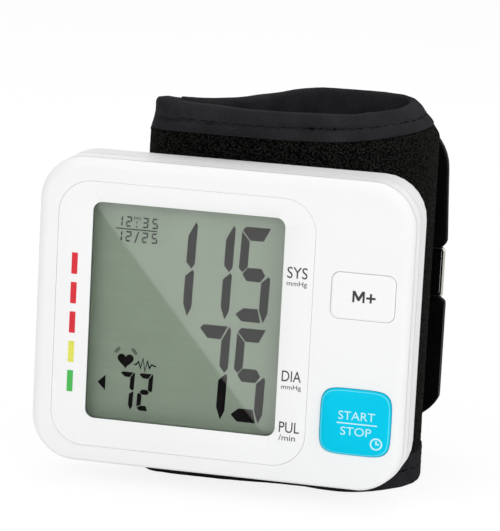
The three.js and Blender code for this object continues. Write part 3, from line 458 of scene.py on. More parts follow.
WHITE_SHELL = Finish("shell_white", srgb(248, 248, 248), 0.4, specular=0.2, cloud=0.006, relief=0.003 * MM)
REAR_SHELL = Finish(
    "rear_shell_white", srgb(240, 240, 240), specular=0.25, cloud=0.01, relief=0.008 * MM
)
PANEL_WHITE = Finish("panel_white", srgb(249, 249, 249), 0.3, specular=0.2, cloud=0.004, relief=0.001 * MM)
# Grey-green on the white panel's window wall: painted shade.
PANEL_WALL_SHADE = Finish("window_wall_painted_shade", srgb(104, 112, 104), 0.4, cloud=0.08)
CYAN_CAP = Finish("start_cap_cyan", srgb(0, 204, 238), 0.4, specular=0.06, cloud=0.02, relief=0.003 * MM)
# A band of lighter cyan on the start cap's rounded edge: a painted highlight.
CYAN_PAINTED_HIGHLIGHT = Finish("start_cap_painted_highlight", srgb(92, 224, 246), 0.35, specular=0.1, cloud=0.03, relief=0.003 * MM)
PALE_INK = Finish("printed_pale_cyan", srgb(196, 244, 252), cloud_size=1 * MM)
LENS = ClearLens("display_lens_clear", (0.985, 0.995, 0.985), 0.02, cloud=0.008)
LCD = DisplayGlass("lcd_reflector", srgb(136, 151, 133), 0.35, cloud=0.05, coat=0.4, relief=0.001 * MM)
LCD_FRAME = Finish("lcd_frame_grey", srgb(92, 100, 94), 0.6, cloud=0.08)
SEGMENT_INK = Finish("lcd_segments", srgb(16, 13, 13), 0.6, specular=0.02, cloud=0.12, cloud_size=2 * MM)
PRINT_INK = Finish("printed_grey", srgb(42, 42, 46), 0.5, cloud=0.1, cloud_size=1 * MM)
RED_INK = Finish("printed_red", srgb(226, 36, 52), 0.42, cloud=0.06, cloud_size=1 * MM)
YELLOW_INK = Finish("printed_yellow", srgb(232, 232, 92), 0.42, cloud=0.05, cloud_size=1 * MM)
GREEN_INK = Finish("printed_green", srgb(72, 192, 84), 0.42, cloud=0.06, cloud_size=1 * MM)
DARK_PLASTIC = Finish("plastic_black", srgb(38, 38, 41), 0.6, cloud=0.15, relief=0.02 * MM)
PALE_PLASTIC = Finish("plastic_pale", srgb(208, 208, 203), 0.5, cloud=0.04, relief=0.01 * MM)
BOARD = Finish("board_green", srgb(32, 92, 58), 0.45, cloud=0.12, cloud_size=3 * MM, coat=0.3)
RUBBER = Finish("black_rubber", srgb(44, 44, 48), 0.75, cloud=0.15, relief=0.02 * MM)
TUBE = Finish("silicone_tube", srgb(205, 205, 200), 0.35, cloud=0.05)
CELL = Finish("cell_jacket", srgb(62, 108, 64), 0.35, cloud=0.1, coat=0.4)
STEEL = BrushedMetal("spring_steel", srgb(190, 192, 196), 0.28, cloud=0.06)
SCREW_STEEL = BrushedMetal("screw_zinc", srgb(140, 143, 148), 0.35, cloud=0.08)
CHROME = Finish("chrome_plate", srgb(186, 184, 177), 0.2, 1.0, gloss_spread=0.03, relief=0.001 * MM)
VELOUR = Velour("cuff_velour", srgb(48, 48, 46), sheen=0.02)
HEM_CLOTH = Woven("hem_twill", srgb(43, 43, 46), relief=0.09 * MM, cloud=0.5, sheen=0.05)
LINER_CLOTH = Woven("liner_satin", srgb(15, 15, 17), yarn=0.3 * MM)
STRAP_CLOTH = Woven("strap_weave", srgb(9, 9, 10), 0.5, specular=0.02, yarn=0.36 * MM, sheen=0.0)
WEBBING = Woven("loop_webbing", srgb(9, 9, 10), yarn=0.6 * MM, relief=0.12 * MM, sheen=0.0)
THREAD = Finish("seam_thread", srgb(27, 27, 30), 0.8, specular=0.0, cloud=0.2, cloud_size=0.6 * MM)
HOOK_PLASTIC = Velour("hook_rows", srgb(9, 9, 10), 0.6, tuft=0.7 * MM, sheen=0.0)


def link_piece(name: str, bm: BMesh, *finishes: Finish) -> Object:
    """Makes a bmesh into a smooth-shaded object of the scene.

    Args:
        name: Name of the piece.
        bm: The finished bmesh, which is freed.
        finishes: One finish for each material index.

    Returns:
        The new object, at the origin.
    """
    mesh = bpy.data.meshes.new(name)
    for face in bm.faces:
        face.smooth = True
    bm.to_mesh(mesh)
    bm.free()
    for finish in finishes:
        mesh.materials.append(finish.material())
    piece = bpy.data.objects.new(name, mesh)
    bpy.context.scene.collection.objects.link(piece)
    return piece


def flatten_shading(piece: Object) -> None:
    """Keeps the flat faces of a hard piece flat beside its rounded edges."""
    modifier = piece.modifiers.new("flat faces", "WEIGHTED_NORMAL")
    modifier.weight = FLAT_WEIGHT


def dress_node(name: str, finish: Finish) -> None:
    """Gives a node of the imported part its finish, and smooth shading between its sharp edges.

    Args:
        name: Name of the node.
        finish: Its finish.
    """
    node = frame["nodes"][name]
    node.data.materials.clear()
    node.data.materials.append(finish.material())
    weld = node.modifiers.new("weld", "WELD")
    weld.merge_threshold = WELD
    split = node.modifiers.new("sharp edges", "EDGE_SPLIT")
    split.split_angle = SHARP
    node.modifiers.new("flat faces", "WEIGHTED_NORMAL")


def rounded_rect(width: float, height: float, radius: float, x: float, z: float, steps: int = 16) -> Ring:
    """Gives a rectangle with round corners, in the plane of the face.

    Args:
        width: Width along X.
        height: Height along Z.
        radius: Radius of the corners.
        x: Middle, along X.
        z: Middle, along Z.
        steps: Steps in each corner.

    Returns:
        The points, anticlockwise as seen from the front.
    """
    ring: Ring = []
    for corner in range(4):
        middle_x = x + (1 if corner in (0, 3) else -1) * (width / 2 - radius)
        middle_z = z + (1 if corner < 2 else -1) * (height / 2 - radius)
        for step in range(steps + 1):
            angle = (corner + step / steps) * math.pi / 2
            ring.append((middle_x + radius * math.cos(angle), middle_z + radius * math.sin(angle)))
    return ring


def square_round(width: float, height: float, power: float, x: float, z: float, steps: int = 96) -> Ring:
    """Gives a square with full round sides, as a superellipse.

    Args:
        width: Width along X.
        height: Height along Z.
        power: Power of the superellipse.
        x: Middle, along X.
        z: Middle, along Z.
        steps: Number of points.

    Returns:
        The points, anticlockwise as seen from the front.
    """
    ring: Ring = []
    for step in range(steps):
        angle = (step + 0.5) / steps * 2 * math.pi
        bend = [math.copysign(abs(v) ** (2 / power), v) for v in (math.cos(angle), math.sin(angle))]
        ring.append((x + width / 2 * bend[0], z + height / 2 * bend[1]))
    return ring


def quarter_round(steps: int) -> Ring:
    """Gives the way over a round edge of size 1: in from the side and down from the face."""
    angles = [step / steps * math.pi / 2 for step in range(steps + 1)]
    return [(1 - math.sin(angle), 1 - math.cos(angle)) for angle in angles]


def add_loop(bm: BMesh, ring: Ring, depth: float) -> Edges:
    """Adds a closed loop of edges at a depth behind the face."""
    verts = [bm.verts.new((x, behind_face(depth), z)) for x, z in ring]
    return [bm.edges.new(pair) for pair in zip(verts, verts[1:] + verts[:1])]


def bridge(bm: BMesh, *loops: Edges) -> list[BMFace]:
    """Joins each loop to the next with faces.

    Args:
        bm: The mesh.
        loops: The loops, in order.

    Returns:
        The new faces.
    """
    made: list[BMFace] = []
    for first, second in zip(loops, loops[1:]):
        made += bmesh.ops.bridge_loops(bm, edges=first + second)["faces"]
    return made


def fill_plate(bm: BMesh, *loops: Edges) -> None:
    """Fills the flat area between an outer loop and the loops inside it."""
    edges = [edge for loop in loops for edge in loop]
    bmesh.ops.triangle_fill(bm, use_beauty=True, use_dissolve=False, edges=edges)


def close_solid(bm: BMesh) -> None:
    """Merges doubles and turns all faces outwards."""
    bmesh.ops.remove_doubles(bm, verts=bm.verts, dist=MERGE)
    bmesh.ops.recalc_face_normals(bm, faces=bm.faces)


def pick(geom: Sequence[object], kind: type) -> list:
    """Gives the elements of one kind from a bmesh operator's result."""
    return [item for item in geom if isinstance(item, kind)]


def thicken(bm: BMesh, faces: Sequence[BMFace], depth: float) -> None:
    """Extrudes flat faces along Y into plates."""
    raised = bmesh.ops.extrude_face_region(bm, geom=faces)
    bmesh.ops.translate(bm, verts=pick(raised["geom"], BMVert), vec=(0, depth, 0))


@dataclass
class Shells:
    """Front shell and display panel of the housing, and the dressed rear shell, cover and screws."""

    width: float = 84 * MM
    height: float = 69 * MM
    corner: float = 10 * MM
    rim_width: float = 2.4 * MM
    rim_depth: float = 1.9 * MM
    rim_steps: int = 10
    wall: float = 1.8 * MM
    face_wall: float = 2 * MM
    panel_width: float = 57.2 * MM
    panel_height: float = 58.9 * MM
    panel_corner: float = 7.2 * MM
    panel_x: float = -8.5 * MM
    panel_z: float = 38.6 * MM
    panel_front: float = 0.1 * MM
    panel_back: float = 1.2 * MM
    recess: float = 1.3 * MM
    recess_room: float = 0.3 * MM
    groove: float = 0.05 * MM
    window_width: float = 43.1 * MM
    window_height: float = 48.6 * MM
    window_corner: float = 2.1 * MM
    window_x: float = -8 * MM
    window_z: float = 39.6 * MM
    window_lap: float = 1.9 * MM
    edge: float = 0.16 * MM
    foot_draft: float = 0.62 * MM
    foot_round: float = 0.35
    hole_edge: float = 0.07 * MM
    edge_steps: int = 4
    corner_steps: int = 20
    few_steps: int = 8
    seam: float = 6.9 * MM
    middle: float = field(init=False)

    def __post_init__(self) -> None:
        """Takes the height of the housing's middle from the frame."""
        low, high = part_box("front_shell")
        self.middle = (low.z + high.z) / 2

    def outline(self, inset: float, lift: float = 0.0) -> Ring:
        """Gives the housing's outline.

        Args:
            inset: How far it is drawn in all round.
            lift: How far its lower edge is raised.

        Returns:
            The points.
        """
        foot = lift + inset * self.foot_round if lift else inset
        width, height = self.width - 2 * inset, self.height - inset - foot
        z = self.middle + (foot - inset) / 2
        return rounded_rect(width, height, self.corner - inset, 0.0, z, self.corner_steps)

    def panel_ring(self, grow: float) -> Ring:
        """Gives the panel's outline, grown all round."""
        width, height = self.panel_width + 2 * grow, self.panel_height + 2 * grow
        return rounded_rect(width, height, self.panel_corner + grow, self.panel_x, self.panel_z)

    def window_ring(self, grow: float) -> Ring:
        """Gives the window's outline, grown all round."""
        place = (self.window_corner + grow, self.window_x, self.window_z, self.few_steps)
        return rounded_rect(self.window_width + 2 * grow, self.window_height + 2 * grow, *place)

    def soft_hole(self, bm: BMesh, ring_at: Outline, back: float) -> tuple[Edges, Edges]:
        """Adds the wall of a hole through the face, with a rounded rim.

        Args:
            bm: The shell.
            ring_at: The hole's outline.
            back: Depth of the wall's far end.

        Returns:
            The loops at the face and at the far end.
        """
        loops = []
        for side, drop in quarter_round(self.edge_steps):
            loops.append(add_loop(bm, ring_at(self.hole_edge * side), self.hole_edge * drop))
        loops.append(add_loop(bm, ring_at(0.0), back))
        bridge(bm, *loops)
        return loops[0], loops[-1]

    def build_front(self, holes: Sequence[Outline]) -> None:
        """Builds the front shell: soft rim, face with its openings, side band and inner wall.

        Args:
            holes: The outlines of the buttons' openings.
        """
        bm = bmesh.new()
        rim = []
        for side, drop in quarter_round(self.rim_steps):
            ring = self.outline(self.rim_width * side, self.foot_draft)
            rim.append(add_loop(bm, ring, self.rim_depth * drop))
        band = add_loop(bm, self.outline(0.0), self.seam - self.edge)
        back = add_loop(bm, self.outline(self.edge), self.seam)
        inner_back = add_loop(bm, self.outline(self.wall), self.seam)
        inner_face = add_loop(bm, self.outline(self.wall), self.face_wall)
        bridge(bm, *rim, band, back, inner_back, inner_face)
        mouths, ends = zip(*[self.soft_hole(bm, hole, self.face_wall) for hole in holes])
        recess_mouth, recess_floor = self.soft_hole(
            bm, lambda grow: self.panel_ring(self.recess_room + grow), self.recess
        )
        opening = add_loop(bm, self.window_ring(self.window_lap), self.recess)
        opening_back = add_loop(bm, self.window_ring(self.window_lap), self.face_wall)
        bridge(bm, opening, opening_back)
        fill_plate(bm, rim[0], recess_mouth, *mouths)
        fill_plate(bm, recess_floor, opening)
        fill_plate(bm, inner_face, opening_back, *ends)
        close_solid(bm)
        shell = link_piece("front_shell_moulded", bm, WHITE_SHELL)
        flatten_shading(shell)
        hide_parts("front_shell")
        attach(shell, "housing")

    def build_panel(self) -> None:
        """Builds the display panel: a glossy plate with a fine rounded edge and a window."""
        bm = bmesh.new()
        fit = self.recess_room - self.groove
        outer = []
        for side, drop in quarter_round(self.edge_steps):
            ring = self.panel_ring(fit - self.hole_edge * side)
            outer.append(add_loop(bm, ring, self.panel_front + self.hole_edge * drop))
        outer.append(add_loop(bm, self.panel_ring(fit), self.panel_back))
        bridge(bm, *outer)
        window = add_loop(bm, self.window_ring(0.0), self.panel_front)
        window_back = add_loop(bm, self.window_ring(0.0), self.panel_back)
        wall = bridge(bm, window, window_back)
        fill_plate(bm, outer[0], window)
        fill_plate(bm, outer[-1], window_back)
        # The window's wall takes the grey-green painted shade.
        for face in wall:
            face.material_index = 1
        close_solid(bm)
        panel = link_piece("display_panel_plate", bm, PANEL_WHITE, PANEL_WALL_SHADE)
        flatten_shading(panel)
        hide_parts("display_panel")
        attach(panel, "housing")

    def dress(self) -> None:
        """Dresses the rear shell, the battery cover and the housing screws."""
        for name in ("rear_shell", "battery_cover"):
            dress_node(name, REAR_SHELL)
        for name in frame["nodes"]:
            if name.startswith("housing_screw"):
                dress_node(name, SCREW_STEEL)


@dataclass
class Cap:
    """A push button: a crowned cap with a retaining flange and a stem."""

    name: str
    node: str
    finish: Finish
    slot: str
    ring_at: Outline
    crown: float
    slope: float
    flange: float = 1.15 * MM
    flange_front: float = 2.3 * MM
    flange_back: float = 3.1 * MM
    stem_radius: float = 2 * MM
    crown_steps: int = 10
    # Optional second finish for the crown loops between edge_steps; on the start cap it is a painted
    # highlight.
    edge: Finish | None = None
    edge_steps: tuple[int, int] = (6, 7)

    def build(self) -> Object:
        """Builds the cap from its crown to its stem and hangs it on its own body.

        Returns:
            The cap.
        """
        bm = bmesh.new()
        loops = []
        for side, drop in quarter_round(self.crown_steps):
            loops.append(add_loop(bm, self.ring_at(-self.slope * side), -self.crown * (1 - drop)))
        outline = self.ring_at(0.0)
        flange = self.ring_at(self.flange)
        middle = [sum(values) / len(outline) for values in zip(*outline)]
        stem = []
        for x, z in outline:
            way = Vector((x - middle[0], z - middle[1])).normalized() * self.stem_radius
            stem.append((middle[0] + way.x, middle[1] + way.y))
        stem_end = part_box(self.node)[1].y - FACE_Y
        for ring, depth in (
            (outline, self.flange_front),
            (flange, self.flange_front),
            (flange, self.flange_back),
            (stem, self.flange_back),
            (stem, stem_end),
        ):
            loops.append(add_loop(bm, ring, depth))
        first, last = self.edge_steps
        bridge(bm, *loops[: first + 1])
        rim = bridge(bm, *loops[first : last + 1])
        bridge(bm, *loops[last:])
        if self.edge:
            # The band on the rounded edge takes the second finish, which on the start cap is a painted
            # highlight.
            for face in rim:
                face.material_index = 1
        bmesh.ops.edgeloop_fill(bm, edges=loops[0])
        bmesh.ops.edgeloop_fill(bm, edges=loops[-1])
        close_solid(bm)
        cap = link_piece(self.name, bm, self.finish, *([self.edge] if self.edge else []))
        flatten_shading(cap)
        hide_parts(self.node)
        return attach(cap, self.node)


class Segment(enum.Enum):
    """Bars of a seven-bar digit."""

    TOP = "a"
    UPPER_RIGHT = "b"
    LOWER_RIGHT = "c"
    BOTTOM = "d"
    LOWER_LEFT = "e"
    UPPER_LEFT = "f"
    MIDDLE = "g"


LIT: dict[str, str] = {
    "1": "bc",
    "2": "abged",
    "3": "abgcd",
    "5": "afgcd",
    "7": "abc",
}


@dataclass
class Digit:
    """A seven-bar digit: its box, its upright and level bars and the slit between them."""

    width: float
    height: float
    bar: float
    level: float
    slit: float
    lean: float = 0.045

    def bar_ring(self, segment: Segment) -> Ring:
        """Gives the outline of one bar.

        Args:
            segment: Which bar.

        Returns:
            The points, from the lower left corner of the digit's box.
        """
        w, h, t, b, g = self.width, self.height, self.bar, self.level, self.slit
        half = h / 2
        rings = {
            Segment.TOP: [
                (0.1 * t, h - 0.28 * b), (0.5 * t, h), (w - 0.4 * t, h),
                (w - 1.12 * t, h - b), (1.05 * t, h - b),
            ],
            Segment.UPPER_RIGHT: [
                (w - 0.2 * t, h), (w, h - 0.25 * b), (w, half + 0.4 * b),
                (w - 0.38 * t, half + g / 2), (w - t, half + 0.45 * b + g), (w - t, h - 1.08 * b),
            ],
            Segment.LOWER_RIGHT: [
                (w - 0.2 * t, half - g / 2), (w, half - 0.2 * b), (w, 0.7 * b),
                (w - 0.45 * t, 0.0), (w - t, 0.95 * b), (w - t, half - 0.48 * b - g),
            ],
            Segment.BOTTOM: [
                (0.05 * t, 0.5 * b), (0.9 * t, b), (w - 1.15 * t, b), (w - 0.72 * t, 0.0), (0.8 * t, 0.0),
            ],
            Segment.LOWER_LEFT: [
                (0.0, half - 0.42 * b), (0.45 * t, half - 0.06 * b - g), (t, half - 0.5 * b - g),
                (t, b + 1.1 * g), (0.0, 0.62 * b + 1.2 * g),
            ],
            Segment.UPPER_LEFT: [
                (0.05 * t, h - 0.3 * b - 1.2 * g), (t, h - b - 1.1 * g), (t, half + 0.5 * b + g),
                (0.45 * t, half + 0.06 * b + g), (0.0, half + 0.42 * b),
            ],
            Segment.MIDDLE: [
                (0.45 * t, half), (t, half + 0.5 * b), (w - 1.1 * t, half + 0.5 * b),
                (w - 0.5 * t - g, half), (w - 1.1 * t, half - 0.5 * b), (t, half - 0.5 * b),
            ],
        }
        return rings[segment]

    def rings(self, figure: str, x: float, z: float) -> list[Ring]:
        """Gives the outlines of a figure's lit bars, with its box's lower left corner at x, z."""
        lit = [segment for segment in Segment if segment.value in LIT[figure]]
        return [[(x + px + self.lean * pz, z + pz) for px, pz in self.bar_ring(bar)] for bar in lit]


@dataclass
class Signs:
    """Flat signs: plates a few hundredths of a millimetre thick, lying on what carries them."""

    thickness: float = 0.03 * MM
    text_steps: int = 4
    text_merge: float = 1e-5
    sharpest: float = 0.4
    look_off: float = 10 * MM

    def plates(
        self, name: str, rings: Sequence[Ring], finish: Finish, front: float, body: str = "housing"
    ) -> Object:
        """Makes one piece of flat plates.

        Args:
            name: Name of the piece.
            rings: Outlines of the plates.
            finish: Their finish.
            front: Depth of their front behind the face.
            body: The body that carries them.

        Returns:
            The piece.
        """
        bm = bmesh.new()
        for ring in rings:
            face = bm.faces.new([bm.verts.new((x, behind_face(front), z)) for x, z in ring])
            thicken(bm, [face], self.thickness)
        close_solid(bm)
        return self.finish_flat(name, bm, finish, body)

    def finish_flat(self, name: str, bm: BMesh, finish: Finish, body: str) -> Object:
        """Links a flat sign, shades it flat and hangs it on its body.

        Args:
            name: Name of the piece.
            bm: Its mesh, which is freed.
            finish: Its finish.
            body: The body that carries it.

        Returns:
            The piece.
        """
        sign = link_piece(name, bm, finish)
        for polygon in sign.data.polygons:
            polygon.use_smooth = False
        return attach(sign, body)

    def lettering(
        self,
        name: str,
        text: str,
        box: Box,
        finish: Finish,
        front: float,
        body: str = "housing",
    ) -> Object:
        """Makes a word that fills a box.

        Args:
            name: Name of the piece.
            text: The word.
            box: Left, right, lower and upper edge.
            finish: Its finish.
            front: Depth of its front behind the face.
            body: The body that carries it.

        Returns:
            The piece.
        """
        curve = bpy.data.curves.new(name + "_text", "FONT")
        curve.body = text
        curve.resolution_u = self.text_steps
        writing = bpy.data.objects.new(name + "_text", curve)
        bpy.context.scene.collection.objects.link(writing)
        shown = writing.evaluated_get(bpy.context.evaluated_depsgraph_get())
        bm = bmesh.new()
        bm.from_mesh(shown.to_mesh())
        shown.to_mesh_clear()
        bpy.data.objects.remove(writing)
        bpy.data.curves.remove(curve)
        bmesh.ops.remove_doubles(bm, verts=bm.verts, dist=self.text_merge)
        left, right, low, high = box
        across = [vert.co.x for vert in bm.verts]
        upward = [vert.co.y for vert in bm.verts]
        wide = (right - left) / (max(across) - min(across))
        tall = (high - low) / (max(upward) - min(upward))
        for vert in bm.verts:
            x = left + (vert.co.x - min(across)) * wide
            z = low + (vert.co.y - min(upward)) * tall
            vert.co = (x, behind_face(front), z)
        thicken(bm, bm.faces[:], self.thickness)
        bmesh.ops.recalc_face_normals(bm, faces=bm.faces)
        return self.finish_flat(name, bm, finish, body)

    def stroke_rings(self, points: Ring, width: float) -> list[Ring]:
        """Gives a drawn line as one plate.

        Args:
            points: The line's corners.
            width: Width of the line.

        Returns:
            A list with the line's outline.
        """
        line = [Vector(point) for point in points]
        sides = []
        for index, point in enumerate(line):
            before = line[max(index - 1, 0)]
            after = line[min(index + 1, len(line) - 1)]
            into = (point - before).normalized() if index else (after - point).normalized()
            out = (after - point).normalized() if index + 1 < len(line) else into
            normal = Vector((-(into + out).y, (into + out).x)).normalized()
            reach = width / 2 / max(normal.dot(Vector((-into.y, into.x))), self.sharpest)
            sides.append((point + normal * reach, point - normal * reach))
        outline = [side[0] for side in sides] + [side[1] for side in reversed(sides)]
        return [[(point.x, point.y) for point in outline]]

    def circle_rings(self, x: float, z: float, radius: float, width: float, steps: int = 40) -> list[Ring]:
        """Gives a drawn circle as a row of short plates.

        Args:
            x: Middle, along X.
            z: Middle, along Z.
            radius: Radius of the circle.
            width: Width of the line.
            steps: Number of plates.

        Returns:
            The outlines of the plates.
        """
        rings = []
        for step in range(steps):
            ends = [2 * math.pi * (step + side) / steps for side in (0, 1)]
            near, far = radius - width / 2, radius + width / 2
            corners = [(near, ends[0]), (far, ends[0]), (far, ends[1]), (near, ends[1])]
            rings.append([(x + r * math.cos(a), z + r * math.sin(a)) for r, a in corners])
        return rings

    def lay_on(self, sign: Object, carrier: Object) -> None:
        """Moves each point of a sign along Y until the sign lies on its carrier's front.

        Args:
            sign: The sign.
            carrier: The piece that carries it.
        """
        bm = bmesh.new()
        bm.from_mesh(carrier.data)
        tree = BVHTree.FromBMesh(bm)
        bm.free()
        deepest = max(vert.co.y for vert in sign.data.vertices)
        for vert in sign.data.vertices:
            start = Vector((vert.co.x, behind_face(-self.look_off), vert.co.z))
            place = tree.ray_cast(start, Vector((0, 1, 0)))[0]
            if place is not None:
                vert.co.y = place.y + (vert.co.y - deepest)


@dataclass
class Display:
    """The display: lens, glass and frame, the figures on the glass and the prints on the panel."""

    glass_front: float = 3.5 * MM
    panel_front: float = 0.1 * MM
    big: Digit = field(default_factory=lambda: Digit(7.2 * MM, 21.1 * MM, 1.95 * MM, 3 * MM, 0.2 * MM, 0.032))
    small: Digit = field(default_factory=lambda: Digit(3.3 * MM, 8.5 * MM, 1.0 * MM, 1.15 * MM, 0.14 * MM))
    tiny: Digit = field(
        default_factory=lambda: Digit(1.35 * MM, 2.35 * MM, 0.34 * MM, 0.36 * MM, 0.1 * MM, 0.03)
    )
    stroke: float = 0.3 * MM
    rule_stroke: float = 0.26 * MM
    beat_stroke: float = 0.2 * MM
    dot: float = 0.34 * MM
    dot_corner: float = 0.1 * MM
    dot_rises: Pair = (0.15 * MM, 1.1 * MM)
    time_low: float = 58.35 * MM
    date_low: float = 55.05 * MM
    slash_low: float = 54.9 * MM
    rule_z: float = 57.85 * MM
    heart: Triple = (-21.55 * MM, 28.4 * MM, 1.85 * MM)
    beat_z: float = 28.9 * MM
    beat_reaches: Pair = (2.35 * MM, 2.75 * MM)
    bar_width: float = 1.35 * MM
    bar_height: float = 4.8 * MM
    bar_corner: float = 0.08 * MM
    bar_pitch: float = 6.63 * MM
    bar_x: float = -33.3 * MM
    bar_top: float = 52.1 * MM
    label_left: float = 14.5 * MM
    signs: Signs = field(default_factory=Signs)

    def dress(self) -> None:
        """Dresses lens, glass, frame and contact strip."""
        for name, finish in (
            ("display_lens", LENS),
            ("lcd_glass", LCD),
            ("lcd_frame", LCD_FRAME),
            ("zebra_strip", RUBBER),
        ):
            dress_node(name, finish)

    def on_glass(self, name: str, rings: Sequence[Ring]) -> None:
        """Puts dark plates on the glass."""
        sign = self.signs.plates(name, rings, SEGMENT_INK, self.glass_front - self.signs.thickness)

    def build_figures(self) -> None:
        """Builds the figures, time, date and marks on the glass."""
        rows = (
            ("lcd_systolic", self.big, "115", (-14.45 * MM, -5.95 * MM, 2.65 * MM), 39.7 * MM),
            ("lcd_diastolic", self.big, "75", (-5.85 * MM, 2.7 * MM), 17.15 * MM),
            ("lcd_pulse", self.small, "72", (-22.9 * MM, -18.7 * MM), 17.3 * MM),
        )
        for name, digit, figures, places, low in rows:
            rings = [ring for figure, x in zip(figures, places) for ring in digit.rings(figure, x, low)]
            self.on_glass(name, rings)
        self.on_glass("lcd_time", self.clock_rings("1235", self.time_low) + self.colon_rings())
        self.on_glass("lcd_date", self.clock_rings("1225", self.date_low) + self.slash_rings())
        line = [(-25.05 * MM, self.rule_z), (-15.65 * MM, self.rule_z)]
        self.on_glass("lcd_rule", self.signs.stroke_rings(line, self.rule_stroke))
        box = (-21.05 * MM, -19.55 * MM, 59.95 * MM, 60.7 * MM)
        front = self.glass_front - self.signs.thickness
        half = self.signs.lettering("lcd_half_day", "PM", box, SEGMENT_INK, front)
        self.on_glass("lcd_heart", [self.heart_ring(*self.heart)])
        self.on_glass("lcd_wave", self.signs.stroke_rings(self.wave(), self.stroke))
        arrow = [(-27.75 * MM, 22.9 * MM), (-25.95 * MM, 21.15 * MM), (-25.95 * MM, 24.65 * MM)]
        self.on_glass("lcd_arrow", [arrow])
        self.on_glass("lcd_beats", self.beat_rings())

    def clock_rings(self, figures: str, low: float) -> list[Ring]:
        """Gives two pairs of tiny figures on one line."""
        places = (-24.95 * MM, -22.85 * MM, -19.1 * MM, -16.95 * MM)
        return [ring for figure, x in zip(figures, places) for ring in self.tiny.rings(figure, x, low)]

    def slash_rings(self) -> list[Ring]:
        """Gives the stroke between month and day."""
        ends = [(-20.65 * MM, self.slash_low), (-19.9 * MM, self.slash_low + 1.05 * self.tiny.height)]
        return self.signs.stroke_rings(ends, self.stroke)

    def colon_rings(self) -> list[Ring]:
        """Gives the two dots between hours and minutes."""
        x, places = -20.35 * MM, [self.time_low + rise for rise in self.dot_rises]
        return [rounded_rect(self.dot, self.dot, self.dot_corner, x, z, 2) for z in places]

    def heart_ring(self, x: float, z: float, reach: float, steps: int = 48) -> Ring:
        """Gives a heart's outline.

        Args:
            x: Middle, along X.
            z: Middle, along Z.
            reach: Half its width.
            steps: Number of points.

        Returns:
            The points.
        """
        ring = []
        for step in range(steps):
            angle = 2 * math.pi * step / steps
            across = 16 * math.sin(angle) ** 3
            upward = sum(n * math.cos(k * angle) for n, k in ((13, 1), (-5, 2), (-2, 3), (-1, 4)))
            ring.append((x + reach * across / 16, z + reach * upward / 16))
        return ring[::-1]

    def beat_rings(self) -> list[Ring]:
        """Gives the two short arcs at each shoulder of the heart.

        Returns:
            The outlines of the arcs.
        """
        x, z = self.heart[0], self.beat_z
        rings = []
        for side in (-1, 1):
            for reach in self.beat_reaches:
                angles = [math.radians(22 + 9 * step) for step in range(5)]
                arc = [(x + side * reach * math.cos(angle), z + reach * math.sin(angle)) for angle in angles]
                rings += self.signs.stroke_rings(arc, self.beat_stroke)
        return rings

    def wave(self) -> Ring:
        """Gives the pulse wave.

        Returns:
            The wave's corners.
        """
        heights = (0, 0, 0.7, -0.7, 1.5, -1.3, 1.0, -0.6, 0.3, 0, 0)
        left, right, low = -19.6 * MM, -14.5 * MM, 27.65 * MM
        step = (right - left) / (len(heights) - 1)
        return [(left + index * step, low + height * MM) for index, height in enumerate(heights)]

    def build_prints(self) -> None:
        """Prints the coloured bars and the units on the panel."""
        colours = [("red", RED_INK)] * 3 + [("yellow", YELLOW_INK), ("green", GREEN_INK)]
        front = self.panel_front - self.signs.thickness
        for index, (colour, finish) in enumerate(colours):
            z = self.bar_top - self.bar_height / 2 - index * self.bar_pitch
            ring = rounded_rect(self.bar_width, self.bar_height, self.bar_corner, self.bar_x, z, 2)
            sign = self.signs.plates(f"level_bar_{index + 1}_{colour}", [ring], finish, front)
        for name, text, right, low, high in (
            ("print_sys", "SYS", 19.0, 50.95, 53.45),
            ("print_sys_unit", "mmHg", 19.0, 48.95, 50.35),
            ("print_dia", "DIA", 18.8, 28.0, 30.4),
            ("print_dia_unit", "mmHg", 18.9, 25.95, 27.3),
            ("print_pul", "PUL", 19.0, 16.55, 18.95),
            ("print_pul_unit", "/min", 18.2, 14.75, 16.1),
        ):
            box = (self.label_left, right * MM, low * MM, high * MM)
            sign = self.signs.lettering(name, text, box, PRINT_INK, front)


